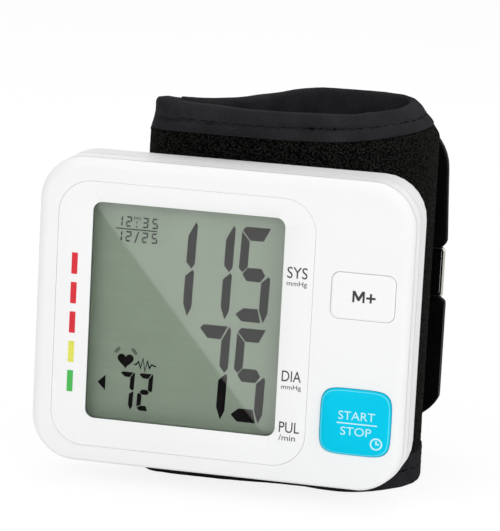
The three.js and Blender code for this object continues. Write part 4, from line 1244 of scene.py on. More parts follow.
@dataclass
class Buttons:
    """The start button and the memory button with their signs."""

    start_width: float = 15.7 * MM
    start_height: float = 14.7 * MM
    start_power: float = 5.0
    start_x: float = 31.4 * MM
    start_z: float = 20.5 * MM
    start_crown: float = 1.1 * MM
    start_slope: float = 2.42 * MM
    memory_width: float = 14.1 * MM
    memory_height: float = 10.2 * MM
    memory_corner: float = 1.8 * MM
    memory_x: float = 31.5 * MM
    memory_z: float = 48.3 * MM
    memory_crown: float = 0.35 * MM
    memory_slope: float = 0.77 * MM
    slip: float = 0.08 * MM
    word_start: Box = (27.75 * MM, 35.85 * MM, 21.2 * MM, 23.1 * MM)
    word_stop: Box = (28.4 * MM, 35.2 * MM, 17.75 * MM, 19.6 * MM)
    rule: Triple = (27.45 * MM, 36.4 * MM, 20.4 * MM)
    rule_stroke: float = 0.28 * MM
    clock: Pair = (36.4 * MM, 16.35 * MM)
    clock_radius: float = 1.2 * MM
    clock_hands: Pair = (0.75 * MM, 0.65 * MM)
    stroke: float = 0.34 * MM
    letter: Triple = (30.55 * MM, 47.1 * MM, 49.6 * MM)
    letter_half: float = 1.34 * MM
    letter_slope: float = 0.92 * MM
    letter_notch: float = 0.35 * MM
    letter_tip: float = 0.22 * MM
    letter_bar: float = 0.46 * MM
    plus: Pair = (33.25 * MM, 48.2 * MM)
    plus_arm: float = 1.03 * MM
    signs: Signs = field(default_factory=Signs)

    def start_ring(self, grow: float) -> Ring:
        """Gives the start button's outline, grown all round."""
        width, height = self.start_width + 2 * grow, self.start_height + 2 * grow
        return square_round(width, height, self.start_power, self.start_x, self.start_z)

    def memory_ring(self, grow: float) -> Ring:
        """Gives the memory button's outline, grown all round."""
        width, height = self.memory_width + 2 * grow, self.memory_height + 2 * grow
        return rounded_rect(width, height, self.memory_corner + grow, self.memory_x, self.memory_z, 10)

    def memory_rings(self) -> list[Ring]:
        """Gives a capital M and a plus beside it.

        Returns:
            The outlines of both.
        """
        x, low, high = self.letter
        bar, half, tip = self.letter_bar, self.letter_half, self.letter_tip
        shoulder, foot = high - self.letter_slope, low + self.letter_notch
        side = [(half - bar, low), (half, low), (half, high), (half - 1.25 * bar, high)]
        valley = [(0.0, foot + 1.75 * bar)]
        mirrored = [(-across, z) for across, z in side[::-1]]
        inner = [(bar - half, shoulder), (-tip, foot), (tip, foot), (half - bar, shoulder)]
        letter = [(x + across, z) for across, z in side + valley + mirrored + inner]
        quarter = [(bar / 2, self.plus_arm), (bar / 2, bar / 2), (self.plus_arm, bar / 2)]
        plus: Ring = []
        for _ in range(4):
            plus += [(self.plus[0] + across, self.plus[1] + up) for across, up in quarter]
            quarter = [(up, -across) for across, up in quarter]
        return [letter, plus]

    def openings(self) -> list[Outline]:
        """Gives the outlines of the openings in the front shell."""
        rings = (self.start_ring, self.memory_ring)
        return [lambda grow, ring=ring: ring(self.slip + grow) for ring in rings]

    def build(self) -> None:
        """Builds both buttons and their signs."""
        # The start cap's rounded edge carries a band of painted highlight.
        start = Cap(
            "start_cap", "start_button", CYAN_CAP, "start_cap",
            self.start_ring, self.start_crown, self.start_slope, edge=CYAN_PAINTED_HIGHLIGHT,
        ).build()
        memory = Cap(
            "memory_cap", "memory_button", PANEL_WHITE, "white_shell",
            self.memory_ring, self.memory_crown, self.memory_slope,
        ).build()
        self.mark_start(start)
        front = -self.memory_crown - self.signs.thickness
        sign = self.signs.plates("sign_memory", self.memory_rings(), PRINT_INK, front, "memory_button")
        self.signs.lay_on(sign, memory)
        for name in ("start_switch", "memory_switch"):
            dress_node(name, DARK_PLASTIC)

    def mark_start(self, cap: Object) -> None:
        """Puts the words, the rule and the clock on the start button.

        Args:
            cap: The button's cap.
        """
        front = -self.start_crown - self.signs.thickness
        body = "start_button"
        signs = [
            self.signs.lettering("sign_start", "START", self.word_start, PALE_INK, front, body),
            self.signs.lettering("sign_stop", "STOP", self.word_stop, PALE_INK, front, body),
        ]
        left, right, z = self.rule
        rule = self.signs.stroke_rings([(left, z), (right, z)], self.rule_stroke)
        signs.append(self.signs.plates("sign_rule", rule, PALE_INK, front, body))
        x, z = self.clock
        long_hand, short_hand = self.clock_hands
        rings = self.signs.circle_rings(x, z, self.clock_radius, self.stroke)
        rings += self.signs.stroke_rings([(x, z + long_hand), (x, z), (x + short_hand, z)], self.stroke)
        signs.append(self.signs.plates("sign_clock", rings, PALE_INK, front, body))
        for sign in signs:
            self.signs.lay_on(sign, cap)


class PlanCurve:
    """A curve in plan, with its unit normal to the left of the way, read by the length along it."""

    apart = 1e-6  # points closer than this are left out

    def __init__(self, points: Sequence[Sequence[float]]) -> None:
        """Measures a dense row of plan points.

        Args:
            points: X and Y of each point, in order.
        """
        rows = [points[0]]
        for point in points[1:]:
            if math.dist(point, rows[-1]) > self.apart:
                rows.append(point)
        self.points = np.array(rows, float)
        steps = np.linalg.norm(np.diff(self.points, axis=0), axis=1)
        self.along = np.concatenate([[0.0], np.cumsum(steps)])
        way = np.gradient(self.points, self.along, axis=0)
        way /= np.linalg.norm(way, axis=1)[:, None]
        self.normals = np.stack([-way[:, 1], way[:, 0]], axis=1)

    @property
    def length(self) -> float:
        """Gives the whole length."""
        return float(self.along[-1])

    def place(self, along: float, offset: float, height: float) -> Vector:
        """Gives a point beside the curve.

        Args:
            along: Length along the curve.
            offset: Distance to the left of the way.
            height: Height above the floor.

        Returns:
            The point.
        """
        point = [np.interp(along, self.along, self.points[:, axis]) for axis in (0, 1)]
        normal = Vector([np.interp(along, self.along, self.normals[:, axis]) for axis in (0, 1)]).normalized()
        return Vector((point[0] + normal.x * offset, point[1] + normal.y * offset, height))

    def way(self, along: float) -> Vector:
        """Gives the unit direction at a length along."""
        normal = [np.interp(along, self.along, self.normals[:, axis]) for axis in (0, 1)]
        return Vector((normal[1], -normal[0], 0.0)).normalized()


def arc_points(
    x: float, y: float, radius: float, start: float, end: float, steps: int = 40
) -> list[list[float]]:
    """Gives points on an arc in plan, its angles in degrees."""
    angles = np.radians(np.linspace(start, end, steps + 1))
    return [[x + radius * math.cos(angle), y + radius * math.sin(angle)] for angle in angles]


def swing_points(corners: Sequence[Sequence[float]], steps: int = 80) -> list[list[float]]:
    """Gives points on a cubic curve in plan.

    Args:
        corners: Its four corners.
        steps: Number of steps.

    Returns:
        The points.
    """
    made = []
    for share in np.linspace(0, 1, steps + 1):
        weights = ((1 - share) ** 3, 3 * share * (1 - share) ** 2, 3 * share**2 * (1 - share), share**3)
        made.append([sum(w * corner[axis] for w, corner in zip(weights, corners)) for axis in (0, 1)])
    return made


def wrap_band(
    name: str,
    curve: PlanCurve,
    columns: int,
    section: Callable[[float], Ring],
    finish: Finish,
) -> Object:
    """Wraps a closed ring of offsets and heights along a curve, as one closed piece with a UV map in metres.

    Args:
        name: Name of the piece.
        curve: The curve in plan.
        columns: Number of places along the curve.
        section: Gives the ring at a length along; each ring has as many points.
        finish: The finish.

    Returns:
        The piece.
    """
    stations = np.linspace(0, curve.length, columns)
    rings = [section(along) for along in stations]
    count = len(rings[0])
    bm = bmesh.new()
    layer = bm.loops.layers.uv.new("cloth")
    bmesh.ops.create_grid(bm, x_segments=len(stations) - 1, y_segments=count, size=1.0)
    grid = {}
    for vert in bm.verts:
        station = round((vert.co.x + 1) / 2 * (len(stations) - 1))
        turn = round((vert.co.y + 1) / 2 * count)
        grid[vert] = (station, turn)
    girths = []
    for ring in rings:
        closed = ring + ring[:1]
        steps = [math.dist(a, b) for a, b in zip(closed, closed[1:])]
        girths.append(np.concatenate([[0.0], np.cumsum(steps)]))
    for face in bm.faces:
        for corner in face.loops:
            station, turn = grid[corner.vert]
            corner[layer].uv = (stations[station], girths[station][turn])
    for vert, (station, turn) in grid.items():
        offset, height = rings[station][turn % count]
        vert.co = curve.place(stations[station], offset, height)
    bmesh.ops.remove_doubles(bm, verts=bm.verts, dist=MERGE)
    rims = [edge for edge in bm.edges if edge.is_boundary]
    bmesh.ops.holes_fill(bm, edges=rims, sides=0)
    bmesh.ops.recalc_face_normals(bm, faces=bm.faces)
    return link_piece(name, bm, finish)


class HemSide(enum.Enum):
    """The two bound edges of the cuff."""

    UPPER = "upper"
    LOWER = "lower"


@dataclass
class Cuff:
    """The cuff: velour cover, liner, bound hems, left fold, closing strap and pull ring."""

    height: float = 84 * MM
    ply_depth: float = 20 * MM
    fold_x: float = -16.1 * MM
    turn_x: float = 17.5 * MM
    turn_front: float = 21.5 * MM
    turn_back: float = 15.5 * MM
    bend_x: float = 10 * MM
    bend_pull: float = 12 * MM
    tuck_x: float = -13.8 * MM
    tuck_depth: float = 31.7 * MM
    tuck_pull: float = 12 * MM
    tuck_slope: float = 0.1
    tuck_tail: float = 4.6 * MM
    gap: float = 0.3 * MM
    cover: float = 1.6 * MM
    liner: float = 1.2 * MM
    thick: float = 6.4 * MM
    thin: float = 3.1 * MM
    former_tail: float = 12 * MM
    hem_height: float = 6.2 * MM
    hem_flat: float = 0.8 * MM
    hem_roll: float = 4 * MM
    hem_crown: float = 1.3 * MM
    hem_round: float = 0.9 * MM
    hem_pucker: float = 0.34 * MM
    hem_waver: float = 0.25 * MM
    hem_edge: float = 0.12 * MM
    hem_power: float = 0.85
    roll_start: float = 0.7
    roll_rise: float = 4 * MM
    roll_fade: Pair = (-3 * MM, 14 * MM)
    roll_lower: float = 0.35
    hem_lip: float = 3.4 * MM
    hem_draw: float = 5.6 * MM
    draw_reach: float = 7.4 * MM
    draw_power: float = 1.1
    draw_run: Triple = (9 * MM, 14 * MM, 58 * MM)
    hem_rise: float = 2.05 * MM
    rise_run: Triple = (0.0, 52 * MM, 60 * MM)
    hem_stand: float = 2.0 * MM
    stand_fade: Pair = (24 * MM, 36 * MM)
    hem_splay: float = 4.2 * MM
    splay_reach: float = 10 * MM
    splay_power: float = 1.2
    hem_narrow: float = 1.5 * MM
    narrow_run: Triple = (14 * MM, 28 * MM, 12 * MM)
    flat_run: Triple = (0.0, 20 * MM, 12 * MM)
    fold_lift: float = 1.0 * MM
    lift_reach: float = 27 * MM
    seam_share: float = 0.53
    seam_wander: float = 0.35 * MM
    seam_width: float = 0.5 * MM
    seam_depth: float = 0.55 * MM
    seam_run: Triple = (0.0, 18 * MM, 12 * MM)
    stitch_pull: float = 0.35 * MM
    stitch_sink: float = 0.04 * MM
    stitch_length: float = 1.7 * MM
    stitch_pitch: float = 2.5 * MM
    stitch_radius: float = 0.15 * MM
    strap_thick: float = 3 * MM
    strap_in: float = 1.4 * MM
    strap_low: float = 8 * MM
    strap_height: float = 71.2 * MM
    strap_end: float = 39.9 * MM
    strap_corner: float = 11 * MM
    strap_tilt: float = 0.044
    strap_edge: float = 0.55 * MM
    strap_sharp: float = 1.2
    strap_pitch: float = 1.4 * MM
    strap_soft: float = 0.12 * MM
    strap_wave: float = 12 * MM
    notch_height: float = 11.7 * MM
    notch_round: float = 1.2 * MM
    lobe_round: float = 2.2 * MM
    strap_root: float = 22 * MM
    fold_drop: float = 1.1 * MM
    fold_swell: float = 0.45 * MM
    fold_lap: float = 0.92
    tuft_size: float = 0.9 * MM
    tuft_height: float = 0.12 * MM
    fibre_size: float = 0.4 * MM
    fibre_height: float = 0.1 * MM
    liner_swell: float = 0.35 * MM
    liner_crease: float = 0.25 * MM
    cover_grid: tuple[int, int] = (300, 150)
    liner_grid: tuple[int, int] = (160, 40)
    hem_grid: tuple[int, int] = (420, 22)
    fold_grid: tuple[int, int] = (60, 120)
    tape_grid: tuple[int, int] = (70, 22)
    loop_reach: float = 1.3 * MM
    loop_room: float = 0.04 * MM
    loop_columns: int = 40
    webbing: float = 0.7 * MM
    notch_depth: float = 5 * MM
    ring_wire: float = 0.45 * MM
    ring_corner: float = 0.7 * MM
    ring_merge: float = 0.01 * MM
    band: PlanCurve = field(init=False)
    strap: PlanCurve = field(init=False)
    fold: PlanCurve = field(init=False)

    def __post_init__(self) -> None:
        """Draws the three plan curves."""
        ply, gap = behind_face(self.ply_depth), self.gap
        turn_y = ply + self.turn_front
        self.back_y = turn_y + self.turn_back
        tuck = [self.tuck_x, behind_face(self.tuck_depth)]
        handle = [tuck[0] + self.tuck_pull, tuck[1] + self.tuck_slope * self.tuck_pull]
        swing = [[self.bend_x, self.back_y], [self.bend_x - self.bend_pull, self.back_y], handle, tuck]
        front = [[x, ply] for x in np.linspace(self.fold_x, self.turn_x, 60)]
        tail = [[tuck[0] - self.tuck_tail, tuck[1] - self.tuck_slope * self.tuck_tail]]
        turn = arc_points(self.turn_x, turn_y, self.turn_front, -90, 0)
        turn += arc_points(self.turn_x + self.turn_front - self.turn_back, turn_y, self.turn_back, 0, 90)
        self.band = PlanCurve(front + turn + swing_points(swing) + tail)
        start_x = self.fold_x + gap + self.tuck_slope * (self.strap_in + self.strap_thick)
        start = [start_x, tuck[1] - self.tuck_slope * (tuck[0] - start_x)]
        straight = [[x, self.back_y] for x in np.linspace(self.bend_x, self.strap_end, 30)]
        self.strap = PlanCurve([start] + swing_points(swing[::-1]) + straight)
        fold_back = start[1] + self.strap_in + self.strap_thick
        radius = (fold_back - ply) / 2
        overlap = [[self.fold_x + 0.05 * MM, ply]]
        self.fold = PlanCurve(overlap + arc_points(self.fold_x, ply + radius, radius, -90, -270, 60))
        self.fold_front = Vector((self.fold_x, ply, 0.0))
        self.fold_back = Vector((self.fold_x, fold_back, 0.0))
        self.front_length = self.turn_x - self.fold_x
        self.turn_length = math.pi / 2 * (self.turn_front + self.turn_back)
        self.former_end = self.front_length + self.turn_length + self.former_tail

    def thickness(self, along: float) -> float:
        """Gives the band's thickness: full over the former, thin at the tucked end."""
        tail = ease(self.former_end, self.former_end + 1.5 * self.former_tail, along)
        return self.thick + (self.thin - self.thick) * tail

    def roll(self, along: float, side: HemSide) -> float:
        """Gives how far a hem's roll stands out: it is full beside the fold and fades towards the right turn.

        Args:
            along: Length along the band.
            side: Which edge.

        Returns:
            The distance.
        """
        x = self.fold_x + along
        rising = self.roll_start + (1 - self.roll_start) * ease(self.fold_x, self.fold_x + self.roll_rise, x)
        roll = self.hem_roll * rising * (1 - ease(*self.roll_fade, x))
        if side is HemSide.UPPER:
            return roll
        return self.roll_lower * roll + self.hem_stand * (1 - ease(*self.stand_fade, x))

    def turned(self, along: float, run: Triple) -> float:
        """Gives a weight that rises round the start of the right turn and falls after its end.

        Args:
            along: Length along the band.
            run: Its start ahead of the turn, where it is full, and the length of its fall.

        Returns:
            The weight, from 0 to 1.
        """
        before, after, fade = run
        start, end = self.front_length, self.front_length + self.turn_length
        return ease(start - before, start + after, along) * (1 - ease(end, end + fade, along))

    def draw(self, along: float, drop: float) -> float:
        """Gives how far the upper edge is drawn in at the right turn, at a drop below the edge."""
        amount = self.hem_draw * self.turned(along, self.draw_run)
        return amount * max(1 - drop / self.draw_reach, 0.0) ** self.draw_power

    def splay(self, along: float, rise: float) -> float:
        """Gives how far the lower edge stands out at the right turn.

        Args:
            along: Length along the band.
            rise: Height above the edge.

        Returns:
            The distance.
        """
        share = (along - self.front_length) / (math.pi / 2 * self.turn_front)
        if not 0.0 < share < 1.0:
            return 0.0
        fade = max(1 - rise / self.splay_reach, 0.0) ** self.splay_power
        return self.hem_splay * math.sin(math.pi * share) * fade

    def top(self, along: float) -> float:
        """Gives the height of the upper edge, which rises beside the fold and round the right turn."""
        return self.height + self.lift(along) + self.hem_rise * self.turned(along, self.rise_run)

    def lift(self, along: float) -> float:
        """Gives how far the upper edge stands up beside the fold."""
        return self.fold_lift * (1 - ease(0.0, self.lift_reach, along))

    def flap(self, along: float, side: HemSide) -> float:
        """Gives the height of a hem's outer flap: the upper one narrows round the right turn."""
        change = self.lift(along) - self.hem_narrow * self.turned(along, self.narrow_run)
        return self.hem_height + (change if side is HemSide.UPPER else 0.0)

    def lean(self, roll: float, share: float) -> float:
        """Gives the roll's stand-out at a share of the way from the crown down to the flap's edge."""
        return roll * (1 - ease(0.0, 1.0, share) * 0.7 - 0.3 * share)

    def tuft(self, along: float, z: float, seed: float) -> float:
        """Gives the height of the velour's pile at a place."""
        return self.tuft_height * ripple(along / self.tuft_size, z / self.tuft_size, seed)

    def build_cover(self) -> None:
        """Builds the velour cover: a thick cloth with a napped outer face."""
        low = self.hem_height / 2
        columns, rows = self.cover_grid

        def ring(along: float) -> Ring:
            """Gives the cover's section, its outer face raised in tufts.

            Args:
                along: Length along the band.

            Returns:
                Offsets and heights.
            """
            top = self.top(along)
            high = top - self.flap(along, HemSide.UPPER) / 2
            outer = []
            for row in range(rows + 1):
                z = low + (high - low) * row / rows
                fibre = self.fibre_height * ripple(along / self.fibre_size, z / self.fibre_size, 7.0)
                outer.append((self.tuft(along, z, 0.0) + fibre, z))
            inner = [(self.cover, high - (high - low) * row / rows) for row in range(0, rows + 1, 3)]
            return [
                (offset + self.draw(along, top - z) - self.splay(along, z), z) for offset, z in outer + inner
            ]

        cover = wrap_band("velour_cover", self.band, columns, ring, VELOUR)
        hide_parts("cuff_cover")
        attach(cover, "housing")

    def build_liner(self) -> None:
        """Builds the smooth liner on the wrist's side, lightly swollen by the bladder."""
        low = self.hem_height - 0.6 * MM
        columns, rows = self.liner_grid

        def ring(along: float) -> Ring:
            """Gives the liner's section, with soft creases on its inner face.

            Args:
                along: Length along the band.

            Returns:
                Offsets and heights.
            """
            far = self.thickness(along)
            high = self.top(along) - low
            inner = []
            for row in range(rows + 1):
                share = row / rows
                z = low + (high - low) * share
                crease = self.liner_crease * ripple(along / (11 * MM), z / (17 * MM), 3.0)
                inner.append((far + (self.liner_swell + crease) * math.sin(math.pi * share), z))
            outer = [(far - self.liner, high - (high - low) * row / 6) for row in range(7)]
            return inner + outer

        liner = wrap_band("smooth_liner", self.band, columns, ring, LINER_CLOTH)
        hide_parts("cuff_liner")
        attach(liner, "housing")

    def seam(self, along: float, drop: float, flap: float) -> float:
        """Gives how deep the stitched seam is sunk into a hem.

        Args:
            along: Length along the band.
            drop: Distance from the hem's edge.
            flap: Height of the outer flap.

        Returns:
            The depth.
        """
        left = 1 - ease(0.0, 1.3 * self.lift_reach, along)
        depth = 1 + 0.6 * ripple(along / (3.1 * MM), 6.0, 2.0)
        depth *= 1 - 0.75 * self.turned(along, self.seam_run)
        wander = self.seam_wander * ripple(along / (4.7 * MM), 2.0, 8.0)
        place = (self.seam_share + 0.08 * left) * flap + wander
        channel = (depth + 0.5 * left) * math.exp(-(((drop - place) / self.seam_width) ** 2))
        pull = 0.5 + 0.5 * math.cos(2 * math.pi * along / self.stitch_pitch)
        return (self.seam_depth + self.stitch_pull * pull) * channel

    def hem_outer(self, along: float, drop: float, side: HemSide) -> float:
        """Gives the offset of the hem's outer face at a distance from its edge.

        Args:
            along: Length along the band.
            drop: Distance from the edge.
            side: Which edge.

        Returns:
            The offset, negative towards the outside.
        """
        flap = self.flap(along, side)
        under = max(drop - self.hem_crown, 0.0) / (flap - self.hem_crown)
        over = max(self.hem_crown - drop, 0.0) / self.hem_crown
        lean = self.lean(self.roll(along, side), under)
        round_off = self.hem_round * (1 - math.sqrt(max(1 - over**2, 0.0)))
        pucker = ripple(along / (2.6 * MM), drop / (5 * MM), 1.0)
        pucker += 0.5 * ripple(along / (1.2 * MM), drop / (2 * MM), 4.0)
        edge = ease(0.0, 1.0, under) * (1 - ease(0.75, 1.0, under))
        sunk = self.seam(along, drop, flap) - self.hem_pucker * pucker * (0.4 + edge)
        drawn = self.draw(along, drop) if side is HemSide.UPPER else -self.splay(along, drop)
        flat = self.hem_flat * (1 - 0.55 * self.turned(along, self.flat_run))
        return -flat - lean + round_off + sunk + drawn

    def build_hem(self, side: HemSide) -> None:
        """Builds a bound hem: a tape folded over the edge, rolled forward on the front ply.

        Args:
            side: Which edge.
        """
        columns, rows = self.hem_grid

        def ring(along: float) -> Ring:
            """Gives the hem's section from the outer flap's edge, over the bound edge, to the inside.

            Args:
                along: Length along the band.

            Returns:
                Offsets and heights.
            """
            flap = self.flap(along, side)
            drops = [flap * (1 - (row / rows) ** self.hem_power) for row in range(rows)] + [self.hem_edge]
            outer = [(self.hem_outer(along, drop, side), drop) for drop in drops]
            far = self.thickness(along) + self.hem_flat
            lip = min(self.hem_outer(along, self.hem_crown, side) + self.hem_lip, far)
            first = outer[-1][0]
            crest = [(first + (lip - first) * share, 0.0) for share in (0.25, 0.5, 0.75)]
            slope = []
            for step in range(1, 13):
                share = step / 12
                bulge = 0.2 * MM * math.sin(math.pi * share)
                drop = 0.25 * MM + (self.hem_height - 0.25 * MM) * share
                slope.append((lip + (far - lip) * share + bulge, drop))
            inside = [(far - 0.5 * MM, self.hem_height), (far - 0.7 * MM, self.hem_height * 0.86)]
            inside += [(outer[0][0] + 1.1 * MM, flap * 0.86), (outer[0][0] + 0.5 * MM, flap)]
            whole = outer + crest + slope + inside
            if side is HemSide.LOWER:
                return whole
            top, wave = self.top(along), self.hem_waver * ripple(along / (9 * MM), 0.0, 5.0)
            drops = [max(drop + wave * (1 - drop / self.hem_height), 0.0) for _, drop in whole]
            return [(offset, top - drop) for (offset, _), drop in zip(whole, drops)]

        hem = wrap_band(f"hem_binding_{side.value}", self.band, columns, ring, HEM_CLOTH)
        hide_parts(f"cuff_hem_{side.value}")
        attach(hem, "housing")

    def build_stitches(self, side: HemSide) -> None:
        """Sews a hem: short raised stitches in the seam's channel.

        Args:
            side: Which edge.
        """
        bm = bmesh.new()
        count = int(self.band.length / self.stitch_pitch)
        for index in range(count):
            along = (index + 0.5) * self.stitch_pitch
            drop = self.seam_share * self.flap(along, side)
            offset = self.hem_outer(along, drop, side) + self.stitch_sink
            z = self.top(along) - drop if side is HemSide.UPPER else drop
            self.add_stitch(bm, self.band.place(along, offset, z), self.band.way(along))
        stitches = link_piece(f"hem_stitches_{side.value}", bm, THREAD)
        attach(stitches, "housing")

    def add_stitch(self, bm: BMesh, place: Vector, way: Vector) -> None:
        """Adds one stitch: a slim grain of thread.

        Args:
            bm: The mesh of the stitches.
            place: Its middle.
            way: Its direction.
        """
        turn = way.to_track_quat("X", "Z").to_matrix().to_4x4()
        size = Matrix.Diagonal((self.stitch_length / 2, self.stitch_radius, self.stitch_radius, 1.0))
        matrix = Matrix.Translation(place) @ turn @ size
        bmesh.ops.create_uvsphere(bm, u_segments=8, v_segments=6, radius=1.0, matrix=matrix)

    def fold_edge(self, along: float, side: HemSide) -> float:
        """Gives the height of the fold's upper or lower edge: it narrows a little to the strap.

        Args:
            along: Length along the fold.
            side: Which edge.

        Returns:
            The height.
        """
        share = along / self.fold.length
        if side is HemSide.LOWER:
            return 2 * self.fold_drop * ease(0.05, 0.45, share)
        return self.top(0.0) - (self.fold_lift + self.fold_drop) * ease(0.2, 0.7, share)

    def bend(self, piece: Object) -> None:
        """Bakes a piece of the fold's placement into its mesh."""
        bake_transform(piece)

    def build_fold(self) -> None:
        """Builds the left fold: a padded cloth turned back on itself, and the tape over its edges."""
        columns, rows = self.fold_grid

        def ring(along: float) -> Ring:
            """Gives the fold's section with a soft outer face.

            Args:
                along: Length along the fold.

            Returns:
                Offsets and heights.
            """
            low = self.fold_edge(along, HemSide.LOWER) + self.fold_lap * self.hem_height
            high = self.fold_edge(along, HemSide.UPPER) - self.fold_lap * self.hem_height
            outer = []
            swell = self.fold_swell * ease(0.0, 0.3, along / self.fold.length)
            for row in range(rows + 1):
                z = low + (high - low) * row / rows
                outer.append((self.tuft(along, z, 11.0) + swell * math.sin(math.pi * row / rows) ** 0.3, z))
            inner = [(-self.strap_thick, high - (high - low) * row / 6) for row in range(7)]
            return outer + inner

        fold = wrap_band("fold_velour", self.fold, columns, ring, VELOUR)
        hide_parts("cuff_fold")
        self.bend(fold)
        for side in HemSide:
            self.bend(self.build_fold_tape(side))

    def build_fold_tape(self, side: HemSide) -> Object:
        """Builds the tape over one edge of the fold.

        Args:
            side: Which edge.

        Returns:
            The tape.
        """
        turned = 1 if side is HemSide.LOWER else -1
        deep = self.flap(0.0, side)
        columns, rows = self.tape_grid

        def ring(along: float) -> Ring:
            """Gives the tape's section: a flat loop over the edge.

            Args:
                along: Length along the fold.

            Returns:
                Offsets and heights.
            """
            edge = self.fold_edge(along, side)
            share = ease(0.0, 0.4 * self.fold.length, along)
            inner = -self.strap_thick - 0.3 * MM
            pucker = 0.2 * MM * ripple(along / (2.6 * MM), 0.0, 9.0) * share
            outer = []
            for row in range(rows + 1):
                drop = max(deep * (1 - (row / rows) ** self.hem_power), self.hem_edge)
                round_off = 1.2 * MM * (1 - math.sqrt(1 - (1 - min(drop / self.hem_crown, 1.0)) ** 2))
                flare = (1.2 * (drop / deep) ** 2 - 0.8) * MM
                own = flare + pucker * (drop / deep) - round_off
                outer.append((own * share - self.hem_outer(0.0, drop, side) * (1 - share), drop))
            back = [(inner + 0.8 * MM, 0.0), (inner, 0.8 * MM), (inner, deep)]
            inside = [(inner + 0.4 * MM, deep), (inner + 0.4 * MM, 0.9 * deep)]
            edge_out = outer[0][0]
            inside += [(edge_out - 0.6 * MM, 0.9 * deep), (edge_out - 0.5 * MM, deep)]
            return [(offset, edge + turned * drop) for offset, drop in outer + back + inside]

        tape = wrap_band(f"fold_tape_{side.value}", self.fold, columns, ring, HEM_CLOTH)
        return tape

    def strap_blank(self, low: float, high: float) -> BMesh:
        """Cuts the strap's flat blank: two round lobes, a notch between them and softened edges.

        Args:
            low: Height of its lower edge.
            high: Height of its upper edge.

        Returns:
            The blank, with X along the strap and a UV map in metres.
        """
        length, notch = self.strap.length, self.notch_height / 2
        middle = (low + high) / 2
        inner = length - self.notch_depth
        corners = [
            (0.0, low, 0.0),
            (length, low, self.strap_corner),
            (length, middle - notch, self.lobe_round),
            (inner, middle - notch, self.notch_round),
            (inner, middle + notch, self.notch_round),
            (length, middle + notch, self.lobe_round),
            (length, high, self.strap_corner),
            (0.0, high, 0.0),
        ]
        bm = bmesh.new()
        verts = [bm.verts.new((along, 0.0, z)) for along, z, _ in corners]
        bm.faces.new(verts)
        for vert, (_, _, radius) in zip(verts, corners):
            if radius:
                bmesh.ops.bevel(
                    bm, geom=[vert], offset=radius, offset_type="OFFSET", segments=10, profile=0.5,
                    affect="VERTICES", material=-1,
                )
        pitch = self.strap_pitch
        for axis, first, last in ((0, 0.0, length), (2, low, high)):
            for cut in np.arange(first + pitch, last - pitch / 2, pitch):
                place, normal = Vector((0, 0, 0)), Vector((0, 0, 0))
                place[axis], normal[axis] = cut, 1.0
                geom = bm.verts[:] + bm.edges[:] + bm.faces[:]
                bmesh.ops.bisect_plane(bm, geom=geom, dist=1e-6, plane_co=place, plane_no=normal)
        thicken(bm, bm.faces[:], self.strap_thick)
        bmesh.ops.recalc_face_normals(bm, faces=bm.faces)
        sharp = [edge for edge in bm.edges if edge.calc_face_angle(0.0) > self.strap_sharp]
        bmesh.ops.bevel(
            bm, geom=sharp, offset=self.strap_edge, offset_type="OFFSET", segments=3, profile=0.5,
            affect="EDGES", material=-1,
        )
        layer = bm.loops.layers.uv.new("cloth")
        for face in bm.faces:
            for corner in face.loops:
                corner[layer].uv = (corner.vert.co.x, corner.vert.co.z)
        return bm

    def build_strap(self) -> None:
        """Builds the closing strap: a padded blank, widened to the fold and bent along its plan curve."""
        length = self.strap.length
        low, high = self.strap_low, self.strap_low + self.strap_height
        root_low = self.fold_edge(self.fold.length, HemSide.LOWER)
        root_high = self.fold_edge(self.fold.length, HemSide.UPPER)
        bm = self.strap_blank(low, high)
        for vert in bm.verts:
            along, offset, z = vert.co
            root_z = root_low + (z - low) * (root_high - root_low) / (high - low)
            z += (root_z - z) * (1 - ease(0.0, self.strap_root, along))
            along -= self.strap_tilt * (z - (low + high) / 2) * ease(0.5 * length, length, along)
            soft = self.strap_soft * ripple(along / self.strap_wave, z / self.strap_wave, offset * 100)
            vert.co = self.strap.place(along, self.strap_in + offset + soft * (offset / self.strap_thick), z)
        bmesh.ops.recalc_face_normals(bm, faces=bm.faces)
        strap = link_piece("closing_strap", bm, STRAP_CLOTH)
        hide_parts("cuff_strap")
        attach(strap, "strap")

    def build_ring(self) -> None:
        """Builds the chrome pull ring: one wire bent round four corners."""
        low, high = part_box("pull_ring")
        wire = self.ring_wire
        x0, x1 = low.x + wire, high.x - wire
        z0, z1 = low.z + wire, high.z - wire
        y = (low.y + high.y) / 2
        r = self.ring_corner
        bm = bmesh.new()
        start = Matrix.Translation((x1, y, (z0 + z1) / 2))
        bmesh.ops.create_circle(bm, cap_ends=False, segments=20, radius=wire, matrix=start)
        edges = bm.edges[:]
        legs = (
            (Vector((0, 0, (z1 - z0) / 2 - r)), (x1 - r, z1 - r)),
            (Vector((-(x1 - x0) + 2 * r, 0, 0)), (x0 + r, z1 - r)),
            (Vector((0, 0, -(z1 - z0) + 2 * r)), (x0 + r, z0 + r)),
            (Vector((x1 - x0 - 2 * r, 0, 0)), (x1 - r, z0 + r)),
            (Vector((0, 0, (z1 - z0) / 2 - r)), None),
        )
        for way, centre in legs:
            moved = bmesh.ops.extrude_edge_only(bm, edges=edges)["geom"]
            bmesh.ops.translate(bm, verts=pick(moved, BMVert), vec=way)
            edges = pick(moved, BMEdge)
            if centre:
                spun = bmesh.ops.spin(
                    bm, geom=edges, cent=(centre[0], y, centre[1]), axis=(0, -1, 0),
                    angle=math.pi / 2, steps=8,
                )
                edges = pick(spun["geom_last"], BMEdge)
        bmesh.ops.remove_doubles(bm, verts=bm.verts, dist=self.ring_merge)
        bmesh.ops.recalc_face_normals(bm, faces=bm.faces)
        ring = link_piece("pull_ring_wire", bm, CHROME)
        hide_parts("pull_ring")
        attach(ring, "pull_ring")

